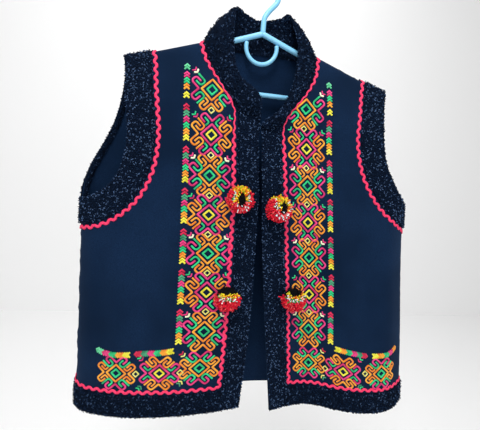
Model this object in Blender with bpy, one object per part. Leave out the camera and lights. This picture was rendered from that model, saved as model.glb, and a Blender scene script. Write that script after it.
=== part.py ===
"""Embroidered folk vest hanging on a plastic tube hanger.

Frame: metres, +Z up, +X to the wearer's left, -Y the front of the vest.  The origin is the inside top of
the hanger's hook, which is where the object is held.  Lengths in this file are millimetres unless a name
says otherwise, and they become metres when a mesh or a curve is made.

Each cloth panel is laid out flat first, as a maker cuts it, in two directions: ACROSS, away from the front
edge or from the centre back, and DOWN, away from the high point of the shoulder.  place() then hangs each
point of the layout in space.  Trims use the same points as the panel under them, moved out.
"""
import math

import bmesh
import bpy
from mathutils import Vector
from mathutils.geometry import delaunay_2d_cdt

MM = 0.001
OBJECT_NAME = "embroidered_folk_vest"

# Hanger
HOOK_TO_JUNCTION = 72.0
JUNCTION_ABOVE_NECK = 23.0
ARM_RADIUS = 4.0
RING_TUBE_RADIUS = 3.25
BAR_RADIUS = 3.65
ARM_SLOPE = 0.365
ARM_BEND = 86.0
BAR_BELOW_JUNCTION = 89.0
ARM_REACH = 176.0
HOOK_BEND_RADIUS = 20.0
RING_RADIUS = 24.0
RING_BELOW_JUNCTION = 20.0

# Cloth: where the layers lie, out from the outer face of the felt
FELT = (-2.0, 0.0)
BOUCLE = (0.3, 4.3)
RICKRACK = (0.3, 1.7)
SEAM_GAP = 0.3

# Cut
NECK_HEIGHT = -(HOOK_TO_JUNCTION + JUNCTION_ABOVE_NECK)
CENTRE_SHIFT = 3.0
SHOULDER_SLOPE = 0.33
SLOPE_START = 91.0
PANEL_HALF = 268.0
LENGTH = 570.0
HEM_BAND = 34.0
FRONT_BAND = 29.0
ARMHOLE_BAND = 39.0
RICKRACK_NEAR = 1.75
RICKRACK_FAR = 8.25

# How the cloth turns over the shoulder and hangs below it: arc length from the ridge, drop, and the share
# of the full depth that the front and the back have reached there.
FALL_COLUMNS = ("arc", "drop", "front", "back")
FALL = [
    (0, 0.0, 0.000, 0.000),
    (4, 1.2, 0.106, 0.154),
    (8, 4.0, 0.183, 0.267),
    (14, 9.2, 0.250, 0.350),
    (22, 16.9, 0.310, 0.400),
    (32, 26.6, 0.385, 0.450),
    (55, 49.5, 0.585, 0.560),
    (85, 79.5, 0.800, 0.690),
    (120, 114.5, 0.880, 0.830),
    (160, 154.5, 0.950, 0.940),
    (220, 214.5, 1.000, 1.000),
    (700, 694.5, 1.000, 1.000),
]

# Plan of each panel at the chest and at the hem: sideways position and depth, across the panel.
SECTION_COLUMNS = ("across", "chest_x", "chest_depth", "hem_x", "hem_depth")
FRONT_LEFT_PLAN = [
    (0, 1, 33, 2, 47),
    (40, 41, 35, 42, 55),
    (80, 81, 36, 82, 60),
    (120, 121, 36.5, 122, 62),
    (160, 161, 36, 162, 61),
    (200, 200, 35, 200.5, 55),
    (230, 229.5, 31.5, 227, 47),
    (246, 243.8, 25.3, 241, 40),
    (256, 251, 19.5, 248.5, 33),
    (263, 254.8, 13.8, 253.5, 25.5),
    (268, 256, 8, 256, 14),
]
FRONT_RIGHT_PLAN = [
    (0, 2, 31, 50, 57),
    (30, 32, 30, 79, 48),
    (60, 62, 30, 108, 43.5),
    (90, 92, 30, 135, 48.5),
    (120, 122, 31, 161, 60),
    (155, 157, 34, 195, 69),
    (190, 191, 40, 229, 71),
    (215, 215.5, 40.5, 253, 65.5),
    (232, 231.5, 36, 269, 57.5),
    (246, 243, 29, 281.5, 49),
    (256, 249.5, 22.5, 290, 42),
    (263, 252.6, 17, 295, 35),
    (268, 253.5, 12, 297, 27),
]
BACK_LEFT_PLAN = [
    (0, 0, 24, 0, 17),
    (60, 60, 23.5, 60, 13),
    (120, 120, 22.5, 119, 15),
    (170, 169, 20.5, 168, 13),
    (205, 203.5, 19, 203.5, 13),
    (230, 227.5, 12.5, 227.5, 7),
    (246, 242.5, 6, 242.5, 1),
    (256, 250.5, 0.5, 250.5, -4.5),
    (263, 255, -3.7, 255, -9.5),
    (268, 256, -8, 256, -14),
]
BACK_RIGHT_PLAN = [
    (0, 0, 24, 0, 17),
    (60, 60, 23.5, 66, 19),
    (120, 120, 22.5, 133, 14),
    (170, 169, 20.5, 189, 17),
    (205, 204, 17, 230, 14),
    (230, 227.5, 9.5, 257, 6.5),
    (246, 241.5, 2.5, 274, -1.5),
    (256, 248.8, -3.5, 284.5, -9.5),
    (263, 252.4, -8, 292, -17.5),
    (268, 253.5, -12, 297, -27),
]
SHOULDER_DEPTH = {"front": 35.0, "back": 24.0}

# How far each front swings in toward the middle on its way down, and how wide a strip of it takes part.
BOW_COLUMNS = ("down", "bow")
FRONT_BOW = {
    "front_left": [(150, 0), (200, 4), (240, 7.5), (300, 8.5), (390, 9.5), (470, 8), (540, 4), (578, 2)],
    "front_right": [(150, 0), (240, 1.5), (300, 2.5), (470, 2.5), (540, 1), (578, 0)],
}
BOW_REACH = {"front_left": 130.0, "front_right": 34.0}
CHEST_ARC = 150.0
NECK_SET_BACK = 7.0
NECK_SET_ARC = 90.0
NECK_TURN = 11.0
SWING_START = 120.0
FOLD_START = 240.0

# Necklines and armholes in the layout.
EDGE_COLUMNS = ("across", "down")
NECK_LEFT = [(89, 0), (86, 18), (78, 37), (65, 56), (52, 75), (39.5, 93), (34, 106)]
NECK_RIGHT = [(81, 0), (79, 22), (75, 42), (63, 65), (48, 85), (35, 105), (29, 124)]
NECK_BACK = [(-89, 0), (-86, 5.5), (-60, 6), (-30, 6), (0, 6), (27, 6), (54, 6), (77, 5.5), (81, 0)]
ARMHOLE_LEFT = [(204, 37.6), (201, 52), (197, 88), (193, 120), (190, 148), (190.5, 172), (194, 192),
                (201, 210), (210.5, 224), (225, 237), (243, 246), (268, 250)]
ARMHOLE_RIGHT = [(209, 36.3), (206, 52), (202, 88), (200, 120), (201, 142), (205, 162), (212, 180),
                 (222, 196), (236, 211), (252, 222), (268, 228)]
ARMHOLE_BACK_LEFT = [(204, 37.6), (205, 67), (211, 105), (222, 140), (236, 170), (251, 200), (261, 225),
                     (268, 250)]
ARMHOLE_BACK_RIGHT = [(204, 37.6), (205, 67), (211, 103), (222, 135), (236, 162), (251, 187), (261, 208),
                      (268, 228)]
# The sewing line of the front band below the collar, down to the hem band.
FRONT_SEAM = {"left": [(32, 160), (31, 536)], "right": [(31, 180), (33, 260), (33.5, 420), (32, 536)]}
FRONT_CORNER_LEFT = 106.0
FRONT_CORNER_RIGHT = 124.0

# Collar: where its seam lies on each panel's layout, and where its free edge stands (x, y, height above the
# high point of the shoulder).
COLLAR_COLUMNS = ("panel", "across", "down", "edge_x", "edge_y", "edge_z")
COLLAR = [
    ("front_left", 0, 106, -4, -44, -94),
    ("front_left", 15, 106, -7, -45, -79),
    ("front_left", 29, 106, -18, -43, -67),
    ("front_left", 32, 94, -32, -38, -57),
    ("front_left", 41, 77, -42, -30, -42),
    ("front_left", 57, 54.5, -47, -21, -16),
    ("front_left", 74.5, 36, -49, -14, 12),
    ("front_left", 84, 18, -48, -8, 38),
    ("back", -89, 0, -45, 2, 56),
    ("back", -60, 6, -29, 11, 52),
    ("back", -30, 6, -12, 15, 48),
    ("back", 0, 6, 3, 16, 49),
    ("back", 27, 6, 16, 15, 52),
    ("back", 54, 6, 27, 12, 55),
    ("front_right", 81, 0, 38, 2, 56),
    ("front_right", 79, 22, 47, -8, 30),
    ("front_right", 75, 42, 51, -15, 4),
    ("front_right", 63, 65, 50, -21, -24),
    ("front_right", 48, 85, 44, -27, -56),
    ("front_right", 35, 105, 33, -33, -83),
    ("front_right", 29, 124, 20, -38, -99),
    ("front_right", 14, 124, 9, -40, -107),
    ("front_right", 0, 124, 3, -40, -114),
]
COLLAR_ROWS = [(0.0, -2.0, 0.0, 0.0), (0.2, -2.6, 2.4, 2.5), (0.6, -2.6, 2.8, 4.0), (1.0, -1.6, 1.8, 0.0)]
COLLAR_SEAM_GAP = 1.0
COLLAR_BAND_GAP = 2.5
BAND_BELOW_COLLAR = 3.0

# Pom-poms: panel, across, down
POMPOMS = [
    ("pompom_upper_left", "front_left", 31, 233.5),
    ("pompom_upper_right", "front_right", 20.5, 244.5),
    ("pompom_lower_left", "front_left", 41, 382),
    ("pompom_lower_right", "front_right", 40.5, 383),
]
POMPOM_RADIUS = 19.5
POMPOM_FLATNESS = 0.84

# Mesh sizes
GRID = 33.0
SIDE_GRID = 16.0
SIDE_START = 196.0
EDGE_STEP = 32.0
ROLL_ROWS = (4.0, 8.0, 14.0, 26.0)
CLEAR_OF_EDGES = 8.0
STRIP_OVERRUN = 30.0
NORMAL_STEP = 1.5

# Colours (red, green, blue), roughness
FELT_LOOK = ((0.010, 0.021, 0.045), 0.95)
BOUCLE_LOOK = ((0.012, 0.016, 0.028), 1.0)
RICKRACK_LOOK = ((0.85, 0.055, 0.13), 0.7)
PLASTIC_LOOK = ((0.24, 0.56, 0.80), 0.35)
POMPOM_LOOK = ((0.55, 0.03, 0.05), 0.95)


def smooth_value(rows, columns, key, wanted, at):
    """Value of one column at a place along the key column: a soft curve through the table's rows."""
    k = columns.index(key)
    w = columns.index(wanted)
    if at <= rows[0][k]:
        return rows[0][w]
    if at >= rows[-1][k]:
        return rows[-1][w]
    i = 0
    while rows[i + 1][k] < at:
        i += 1

    def slope(j):
        a = max(j - 1, 0)
        b = min(j + 1, len(rows) - 1)
        return (rows[b][w] - rows[a][w]) / (rows[b][k] - rows[a][k])

    span = rows[i + 1][k] - rows[i][k]
    u = (at - rows[i][k]) / span
    start = (1 + 2 * u) * (1 - u) ** 2 * rows[i][w] + u * (1 - u) ** 2 * span * slope(i)
    end = u * u * (3 - 2 * u) * rows[i + 1][w] + u * u * (u - 1) * span * slope(i + 1)
    return start + end


def soft_step(u):
    """0 to 1 with soft ends."""
    u = min(max(u, 0.0), 1.0)
    return u * u * (3 - 2 * u)


def shoulder_drop(x):
    """How far the shoulder ridge has come down at a sideways distance x."""
    beyond = abs(x) - SLOPE_START
    return SHOULDER_SLOPE * beyond if beyond > 0 else 0.0


def panel_plan(panel, across):
    """The plan table that a point of a panel uses, its share of the full depth, and its sideways sign."""
    if panel == "front_left":
        return FRONT_LEFT_PLAN, "front", -1.0
    if panel == "front_right":
        return FRONT_RIGHT_PLAN, "front", 1.0
    if across < 0:
        return BACK_LEFT_PLAN, "back", -1.0
    return BACK_RIGHT_PLAN, "back", 1.0


def place(panel, across, down):
    """Where a point of the flat layout hangs (no thickness)."""
    plan, side, sign = panel_plan(panel, across)
    reach = abs(across) if panel == "back" else across
    swing = min(max((down - SWING_START) / (LENGTH - SWING_START), 0.0), 1.0)
    fold = soft_step((down - FOLD_START) / (LENGTH - FOLD_START))
    chest_x = smooth_value(plan, SECTION_COLUMNS, "across", "chest_x", reach)
    hem_x = smooth_value(plan, SECTION_COLUMNS, "across", "hem_x", reach)
    chest_depth = smooth_value(plan, SECTION_COLUMNS, "across", "chest_depth", reach)
    hem_depth = smooth_value(plan, SECTION_COLUMNS, "across", "hem_depth", reach)
    x = chest_x + (hem_x - chest_x) * swing
    if panel in FRONT_BOW:
        x -= smooth_value(FRONT_BOW[panel], BOW_COLUMNS, "down", "bow", down) * (
            1 - soft_step(across / BOW_REACH[panel]))
    drop = shoulder_drop(x)
    arc = max(down - drop, 0.0)
    chest_share = soft_step(arc / CHEST_ARC)
    depth = SHOULDER_DEPTH[side] * (1 - chest_share) + chest_depth * chest_share
    depth += (hem_depth - chest_depth) * fold
    share = smooth_value(FALL, FALL_COLUMNS, "arc", side, arc)
    fall = smooth_value(FALL, FALL_COLUMNS, "arc", "drop", arc)
    y = depth * share
    if side == "back":
        near_neck = soft_step((SLOPE_START - x) / NECK_TURN) * (1 - soft_step(arc / NECK_SET_ARC))
        y += NECK_SET_BACK * near_neck
    else:
        y = -y
    return Vector((sign * x + CENTRE_SHIFT, y, NECK_HEIGHT - drop - fall))


def outward(panel, across, down):
    """Direction out of the cloth at a point; the two panels of a seam share it along the seam."""
    sign = panel_plan(panel, across)[2]
    if abs(across) > PANEL_HALF - 1:
        return Vector((sign, 0, 0))
    here = place(panel, across, down)
    if down - shoulder_drop(here.x - CENTRE_SHIFT) < 1:
        slope = SHOULDER_SLOPE if abs(across) > SLOPE_START else SHOULDER_SLOPE * 0.5
        return Vector((sign * slope, 0, 1)).normalized()
    to_side = place(panel, across + NORMAL_STEP, down) - place(panel, across - NORMAL_STEP, down)
    to_hem = place(panel, across, down + NORMAL_STEP) - place(panel, across, max(down - NORMAL_STEP, 0))
    normal = to_side.cross(to_hem).normalized()
    return -normal if panel == "front_right" else normal


def layer_point(panel, across, down, out):
    """A point of the layout, hung and moved out of the felt's outer face by a distance."""
    return place(panel, across, down) + outward(panel, across, down) * out


def ridge_arc(panel, across, down):
    """Arc length of a flat point below the shoulder ridge."""
    return down - shoulder_drop(place(panel, across, down).x - CENTRE_SHIFT)


def resample(points, panel):
    """A flat line as short steps, with a point wherever it crosses a row of the shoulder's roll."""
    result = [points[0]]
    for a, b in zip(points, points[1:]):
        length = math.dist(a, b)
        count = max(1, round(length / EDGE_STEP))
        shares = [i / count for i in range(1, count + 1)]
        arc_a = ridge_arc(panel, *a)
        arc_b = ridge_arc(panel, *b)
        for row in ROLL_ROWS:
            if min(arc_a, arc_b) < row < max(arc_a, arc_b):
                crossing = (row - arc_a) / (arc_b - arc_a)
                shares = [s for s in shares if s == 1 or abs(s - crossing) * length > ROLL_ROWS[0]]
                shares.append(crossing)
        for share in sorted(shares):
            result.append((a[0] + (b[0] - a[0]) * share, a[1] + (b[1] - a[1]) * share))
    return result


def soft_line(points, per_span=2):
    """A flat line through points with soft corners, from the same kind of curve as the tables."""
    rows = []
    run = 0.0
    for i, p in enumerate(points):
        if i:
            run += math.dist(p, points[i - 1])
        rows.append((run, p[0], p[1]))
    columns = ("run", "a", "b")
    result = []
    for i in range(len(rows) - 1):
        for j in range(per_span):
            at = rows[i][0] + (rows[i + 1][0] - rows[i][0]) * j / per_span
            result.append((smooth_value(rows, columns, "run", "a", at),
                           smooth_value(rows, columns, "run", "b", at)))
    result.append(tuple(points[-1]))
    return result


def beside(points, distance, overrun=0.0):
    """A line beside a flat line, to the right of its travel, running past both ends by overrun."""
    line = [tuple(p) for p in points]
    if overrun:
        first = (Vector(line[0]) - Vector(line[1])).normalized() * overrun
        last = (Vector(line[-1]) - Vector(line[-2])).normalized() * overrun
        line[0] = tuple(Vector(line[0]) + first)
        line[-1] = tuple(Vector(line[-1]) + last)
    result = []
    for i, p in enumerate(line):
        before = Vector(line[max(i - 1, 0)])
        after = Vector(line[min(i + 1, len(line) - 1)])
        here = Vector(p)
        first = (here - before).normalized() if i else (after - here).normalized()
        second = (after - here).normalized() if i < len(line) - 1 else first
        middle = (first + second).normalized()
        normal = Vector((-middle.y, middle.x))
        stretch = 1 / max(middle.dot(first), 0.5)
        result.append(tuple(here + normal * distance * stretch))
    return result


def distance_to_line(p, points):
    """Shortest distance from a flat point to a flat line."""
    best = 1e9
    for a, b in zip(points, points[1:]):
        ax, ay = a
        dx, dy = b[0] - ax, b[1] - ay
        u = ((p[0] - ax) * dx + (p[1] - ay) * dy) / max(dx * dx + dy * dy, 1e-9)
        u = min(max(u, 0.0), 1.0)
        best = min(best, math.hypot(p[0] - ax - u * dx, p[1] - ay - u * dy))
    return best


def inside(p, polygon):
    """True where a flat point is within a flat outline."""
    result = False
    for a, b in zip(polygon, polygon[1:] + polygon[:1]):
        if (a[1] > p[1]) != (b[1] > p[1]):
            if p[0] < a[0] + (p[1] - a[1]) * (b[0] - a[0]) / (b[1] - a[1]):
                result = not result
    return result


def turned(polygon):
    """The same flat outline, always running the same way round."""
    area = sum(a[0] * b[1] - b[0] * a[1] for a, b in zip(polygon, polygon[1:] + polygon[:1]))
    return polygon if area > 0 else list(reversed(polygon))


def layout_mesh(panel, outline, trims):
    """Flat triangles of a panel, with every trim's edges in them: points and, for each trim, triangles."""
    polygons = [turned(outline)] + [turned(trims[name]) for name in trims]
    lines = [p + p[:1] for p in polygons]
    points = []
    faces = []
    for polygon in polygons:
        faces.append(list(range(len(points), len(points) + len(polygon))))
        points.extend(polygon)
    columns = []
    at = GRID / 2
    while at < PANEL_HALF:
        columns.append(at)
        at += SIDE_GRID if at > SIDE_START else GRID
    if panel == "back":
        columns = [-c for c in reversed(columns)] + columns
    edges = []
    for row in ROLL_ROWS:
        for column in columns:
            ridge = shoulder_drop(place(panel, column, 0).x - CENTRE_SHIFT)
            if column != columns[0]:
                edges.append((len(points) - 1, len(points)))
            points.append((column, ridge + row))
    for column in columns:
        ridge = shoulder_drop(place(panel, column, 0).x - CENTRE_SHIFT)
        row = GRID * math.ceil((ridge + ROLL_ROWS[-1] + GRID / 2) / GRID)
        while row < LENGTH:
            p = (column, row)
            if inside(p, outline) and min(distance_to_line(p, line) for line in lines) > CLEAR_OF_EDGES:
                points.append(p)
            row += GRID
    found = delaunay_2d_cdt([Vector(p) for p in points], edges, faces, 1, 1e-3, True)
    flat = [tuple(v) for v in found[0]]
    pieces = {"felt": []}
    for name in trims:
        pieces[name] = []
    for face, source in zip(found[2], found[5]):
        if 0 not in source:
            continue
        pieces["felt"].append(tuple(face))
        for i, name in enumerate(trims):
            if i + 1 in source:
                pieces[name].append(tuple(face))
    return flat, pieces


def inset_flat(flat, triangles, distance):
    """The points of a set of flat triangles, those on its edge drawn in by a distance."""
    uses = {}
    for t in triangles:
        for a, b in ((t[0], t[1]), (t[1], t[2]), (t[2], t[0])):
            uses[(a, b)] = uses.get((a, b), 0) + 1
    rims = [e for e in uses if (e[1], e[0]) not in uses]
    moved = {i: flat[i] for t in triangles for i in t}
    pushes = {}
    for a, b in rims:
        d = (Vector(flat[b]) - Vector(flat[a])).normalized()
        normal = Vector((-d.y, d.x))
        pushes.setdefault(a, []).append(normal)
        pushes.setdefault(b, []).append(normal)
    for i, normals in pushes.items():
        total = Vector((0.0, 0.0))
        for n in normals:
            total += n
        total = total.normalized() if total.length > 1e-6 else normals[0]
        stretch = 1 / max(total.dot(normals[0]), 0.4)
        moved[i] = tuple(Vector(flat[i]) + total * distance * stretch)
    return moved, rims


def material(name, look):
    """A Principled material of its own for one sub-part."""
    made = bpy.data.materials.new(name)
    made.use_nodes = True
    shader = made.node_tree.nodes["Principled BSDF"]
    shader.inputs["Base Color"].default_value = (*look[0], 1.0)
    shader.inputs["Roughness"].default_value = look[1]
    shader.inputs["Metallic"].default_value = 0.0
    return made


def add_object(name, mesh, look):
    """Put a mesh in the object's collection under its node's name."""
    mesh.materials.append(material(name, look))
    made = bpy.data.objects.new(name, mesh)
    vest.objects.link(made)
    return made


def shell_object(name, panel, flat, triangles, layer, look):
    """A closed cloth piece: its outer face, its inner face and the wall round its edge."""
    moved, rims = inset_flat(flat, triangles, SEAM_GAP / 2)
    bm = bmesh.new()
    outer = {}
    inner = {}
    for i, (across, down) in moved.items():
        outer[i] = bm.verts.new(layer_point(panel, across, down, layer[1]) * MM)
        inner[i] = bm.verts.new(layer_point(panel, across, down, layer[0]) * MM)
    for a, b, c in triangles:
        bm.faces.new((outer[a], outer[b], outer[c]))
        bm.faces.new((inner[c], inner[b], inner[a]))
    for a, b in rims:
        bm.faces.new((outer[b], outer[a], inner[a], inner[b]))
    bmesh.ops.recalc_face_normals(bm, faces=bm.faces)
    mesh = bpy.data.meshes.new(name)
    bm.to_mesh(mesh)
    bm.free()
    return add_object(name, mesh, look)


def ribbon(line, near, far):
    """Outline of a strip beside a line, between two distances from it."""
    return beside(line, near, STRIP_OVERRUN) + list(reversed(beside(line, far, STRIP_OVERRUN)))


def front_panel(side, neck, armhole, corner):
    """One front: felt, front band, hem band, armhole band and two runs of rick-rack."""
    panel = "front_" + side
    neckline = soft_line(neck)
    scye = soft_line(armhole)
    ridge = resample([scye[0], neckline[0]], panel)
    front_edge = [(0.0, corner), (0.0, LENGTH)]
    hem = [(0.0, LENGTH), (PANEL_HALF, LENGTH)]
    side_seam = [(PANEL_HALF, LENGTH), scye[-1]]
    outline = neck_edge(panel)[:-1]
    outline += resample(front_edge, panel)[:-1]
    outline += resample(hem, panel)[:-1]
    outline += resample(side_seam, panel)[:-1]
    outline += resample(list(reversed(scye)), panel)[:-1]
    outline += ridge[:-1]
    front_seam = FRONT_SEAM[side]
    foot = front_seam[-1][0]
    seam = resample(neckline + front_seam + [(PANEL_HALF, LENGTH - HEM_BAND)], panel)
    band_top = corner + BAND_BELOW_COLLAR
    band = resample([(0.0, band_top), (FRONT_BAND, band_top)] + front_seam
                    + [(foot, LENGTH), (0.0, LENGTH)], panel)
    hem_band = resample([(foot, LENGTH - HEM_BAND), (PANEL_HALF, LENGTH - HEM_BAND),
                         (PANEL_HALF, LENGTH), (foot, LENGTH)], panel)
    scye_fine = resample(scye, panel)
    trims = {
        "front_band_" + side: band,
        "hem_band_" + side: hem_band,
        "armhole_band_front_" + side: ribbon(scye_fine, 0.0, ARMHOLE_BAND),
        "rickrack_front_" + side: ribbon(seam, -RICKRACK_NEAR, -RICKRACK_FAR),
        "rickrack_armhole_front_" + side: ribbon(scye_fine, ARMHOLE_BAND + RICKRACK_NEAR,
                                                 ARMHOLE_BAND + RICKRACK_FAR),
    }
    build_panel(panel, outline, trims)


def back_panel():
    """The back: felt, hem band, two armhole bands and its runs of rick-rack."""
    neckline = soft_line(NECK_BACK)
    left = [(-a, b) for a, b in soft_line(ARMHOLE_BACK_LEFT)]
    right = soft_line(ARMHOLE_BACK_RIGHT)
    outline = neck_edge("back")[:-1]
    outline += resample([neckline[-1], right[0]], "back")[:-1]
    outline += resample(right, "back")[:-1]
    outline += resample([right[-1], (PANEL_HALF, LENGTH)], "back")[:-1]
    outline += resample([(PANEL_HALF, LENGTH), (-PANEL_HALF, LENGTH)], "back")[:-1]
    outline += resample([(-PANEL_HALF, LENGTH), left[-1]], "back")[:-1]
    outline += resample(list(reversed(left)), "back")[:-1]
    outline += resample([left[0], neckline[0]], "back")[:-1]
    left_fine = resample(left, "back")
    right_fine = resample(right, "back")
    hem_line = resample([(-PANEL_HALF, LENGTH - HEM_BAND), (PANEL_HALF, LENGTH - HEM_BAND)], "back")
    hem_band = resample([(PANEL_HALF, LENGTH - HEM_BAND), (-PANEL_HALF, LENGTH - HEM_BAND),
                         (-PANEL_HALF, LENGTH), (PANEL_HALF, LENGTH)], "back")
    neck_fine = resample(neckline, "back")
    trims = {
        "hem_band_back": hem_band,
        "armhole_band_back_left": ribbon(left_fine, 0.0, -ARMHOLE_BAND),
        "armhole_band_back_right": ribbon(right_fine, 0.0, ARMHOLE_BAND),
        "rickrack_back_hem": ribbon(hem_line, -RICKRACK_NEAR, -RICKRACK_FAR),
        "rickrack_back_neck": ribbon(neck_fine, RICKRACK_NEAR, RICKRACK_FAR),
        "rickrack_armhole_back_left": ribbon(left_fine, -ARMHOLE_BAND - RICKRACK_NEAR,
                                             -ARMHOLE_BAND - RICKRACK_FAR),
        "rickrack_armhole_back_right": ribbon(right_fine, ARMHOLE_BAND + RICKRACK_NEAR,
                                              ARMHOLE_BAND + RICKRACK_FAR),
    }
    build_panel("back", outline, trims)


def build_panel(panel, outline, trims):
    """Felt and trims of one panel, each as its own closed solid."""
    flat, pieces = layout_mesh(panel, outline, trims)
    for name, triangles in pieces.items():
        if name == "felt":
            shell_object(panel, panel, flat, triangles, FELT, FELT_LOOK)
        elif name.startswith("rickrack"):
            shell_object(name, panel, flat, triangles, RICKRACK, RICKRACK_LOOK)
        else:
            shell_object(name, panel, flat, triangles, BOUCLE, BOUCLE_LOOK)


def neck_edge(panel):
    """The cut neck edge of a panel as short steps: a front from shoulder to front edge, the back across."""
    if panel == "back":
        return resample(soft_line(NECK_BACK), panel)
    neck, corner = (NECK_LEFT, FRONT_CORNER_LEFT) if panel == "front_left" else (NECK_RIGHT, FRONT_CORNER_RIGHT)
    curve = soft_line(neck)
    return resample(curve, panel)[:-1] + resample([curve[-1], (0.0, corner)], panel)


def collar():
    """Standing collar: a loft from the neck seam to its free edge, thicker than the felt."""
    stations = [("front_left", *p) for p in reversed(neck_edge("front_left"))]
    stations += [("back", *p) for p in neck_edge("back")[1:-1]]
    stations += [("front_right", *p) for p in neck_edge("front_right")]
    seam = [place(*station) for station in stations]
    normals = [outward(*station) for station in stations]
    runs = [0.0]
    for p, q in zip(seam, seam[1:]):
        runs.append(runs[-1] + (q - p).length)
    columns = ("run", "x", "y", "z")
    edge_rows = []
    for panel, across, down, x, y, z in COLLAR:
        here = place(panel, across, down)
        nearest = min(range(len(seam)), key=lambda i: (seam[i] - here).length)
        edge_rows.append((runs[nearest], x + CENTRE_SHIFT, y, NECK_HEIGHT + z))
    edge = [Vector([smooth_value(edge_rows, columns, "run", c, run) for c in "xyz"]) for run in runs]
    bm = bmesh.new()
    rows = []
    last = len(seam) - 1
    for j, (start, end) in enumerate(zip(seam, edge)):
        before = max(j - 1, 0)
        after = min(j + 1, last)
        along = seam[after] + edge[after] - seam[before] - edge[before]
        rise = end - start
        normal = rise.cross(along).normalized()
        over_band = stations[j][0] != "back" and stations[j][1] <= FRONT_BAND
        start = start + rise.normalized() * (COLLAR_BAND_GAP if over_band else COLLAR_SEAM_GAP)
        row = []
        for share, low, high, bulge in COLLAR_ROWS:
            direction = normals[j] if share == 0 else normal
            middle = start.lerp(end, share) + normal * bulge
            row.append((bm.verts.new((middle + direction * low) * MM),
                        bm.verts.new((middle + direction * high) * MM)))
        rows.append(row)
    for a, b in zip(rows, rows[1:]):
        for k in range(len(COLLAR_ROWS) - 1):
            bm.faces.new((a[k][1], a[k + 1][1], b[k + 1][1], b[k][1]))
            bm.faces.new((a[k][0], b[k][0], b[k + 1][0], a[k + 1][0]))
        bm.faces.new((a[0][0], a[0][1], b[0][1], b[0][0]))
        bm.faces.new((a[-1][1], a[-1][0], b[-1][0], b[-1][1]))
    for k in range(len(COLLAR_ROWS) - 1):
        a = rows[0]
        bm.faces.new((a[k + 1][1], a[k][1], a[k][0], a[k + 1][0]))
        b = rows[-1]
        bm.faces.new((b[k][1], b[k + 1][1], b[k + 1][0], b[k][0]))
    mesh = bpy.data.meshes.new("collar")
    bm.to_mesh(mesh)
    bm.free()
    add_object("collar", mesh, BOUCLE_LOOK)


def pompom(name, panel, across, down):
    """A cut-yarn ball lying on the front, as a slightly flat sphere."""
    out = outward(panel, across, down)
    half_depth = POMPOM_RADIUS * POMPOM_FLATNESS
    centre = layer_point(panel, across, down, BOUCLE[1] + SEAM_GAP + half_depth)
    bm = bmesh.new()
    bmesh.ops.create_uvsphere(bm, u_segments=18, v_segments=12, radius=POMPOM_RADIUS * MM)
    mesh = bpy.data.meshes.new(name)
    bm.to_mesh(mesh)
    bm.free()
    for face in mesh.polygons:
        face.use_smooth = True
    made = add_object(name, mesh, POMPOM_LOOK)
    made.rotation_mode = "QUATERNION"
    made.rotation_quaternion = out.to_track_quat("Z", "Y")
    made.location = centre * MM
    made.scale = (1, 1, POMPOM_FLATNESS)


def tube(name, points, radius):
    """A plastic tube through points in the hanger's plane (x, z)."""
    data = bpy.data.curves.new(name, "CURVE")
    data.dimensions = "3D"
    data.bevel_depth = radius * MM
    data.bevel_resolution = 3
    data.use_fill_caps = True
    spline = data.splines.new("POLY")
    spline.points.add(len(points) - 1)
    for point, (x, z) in zip(spline.points, points):
        point.co = (x * MM, 0.0, z * MM, 1.0)
    data.materials.append(material(name, PLASTIC_LOOK))
    made = bpy.data.objects.new(name, data)
    vest.objects.link(made)
    return made


def arc_points(centre, radius, start, end, count):
    """Points on an arc; angles in degrees from +X toward +Z."""
    result = []
    for i in range(count + 1):
        angle = math.radians(start + (end - start) * i / count)
        result.append((centre[0] + radius * math.cos(angle), centre[1] + radius * math.sin(angle)))
    return result


def hanger():
    """Tube hanger: hook with its stem, two arms with their end bends, lower bar and the ring."""
    junction = -HOOK_TO_JUNCTION
    eye = ARM_RADIUS - HOOK_BEND_RADIUS
    stem_foot = junction + ARM_RADIUS + 0.6
    hook = [(0, stem_foot), (0, -50), (2, -44), (7, -38)]
    hook += arc_points((0, eye), HOOK_BEND_RADIUS, -45, 200, 18)
    tube("hanger_hook", hook, ARM_RADIUS)
    bar_height = junction - BAR_BELOW_JUNCTION
    for side, sign in (("left", -1), ("right", 1)):
        bend_height = junction - ARM_SLOPE * ARM_BEND
        end_height = bend_height - SHOULDER_SLOPE * (ARM_REACH - ARM_BEND)
        drop = end_height - bar_height
        arm = [(sign * 1.9, junction - ARM_SLOPE * 1.9), (sign * ARM_BEND, bend_height)]
        arm.append((sign * ARM_REACH, end_height))
        arm += [(sign * (ARM_REACH + 7), end_height - 0.22 * drop),
                (sign * (ARM_REACH + 9.5), end_height - 0.5 * drop),
                (sign * (ARM_REACH + 7), end_height - 0.8 * drop),
                (sign * (ARM_REACH + 1), bar_height)]
        arm.append((sign * (ARM_REACH - 3), bar_height))
        tube("hanger_arm_" + side, arm, ARM_RADIUS)
    bar_half = ARM_REACH - 3 - SEAM_GAP
    tube("hanger_bar", [(-bar_half, bar_height), (bar_half, bar_height)], BAR_RADIUS)
    ring_centre = (0, junction - RING_BELOW_JUNCTION)
    tube("hanger_ring", arc_points(ring_centre, RING_RADIUS, 12, -192, 20), RING_TUBE_RADIUS)


for old in list(bpy.data.objects):
    bpy.data.objects.remove(old)
vest = bpy.data.collections.new(OBJECT_NAME)
bpy.context.scene.collection.children.link(vest)

front_panel("left", NECK_LEFT, ARMHOLE_LEFT, FRONT_CORNER_LEFT)
front_panel("right", NECK_RIGHT, ARMHOLE_RIGHT, FRONT_CORNER_RIGHT)
back_panel()
collar()
for pompom_name, pompom_panel, pompom_across, pompom_down in POMPOMS:
    pompom(pompom_name, pompom_panel, pompom_across, pompom_down)
hanger()
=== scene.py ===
import math
import bpy
import numpy as np
from mathutils import Matrix, Vector
from mathutils.geometry import delaunay_2d_cdt


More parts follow.
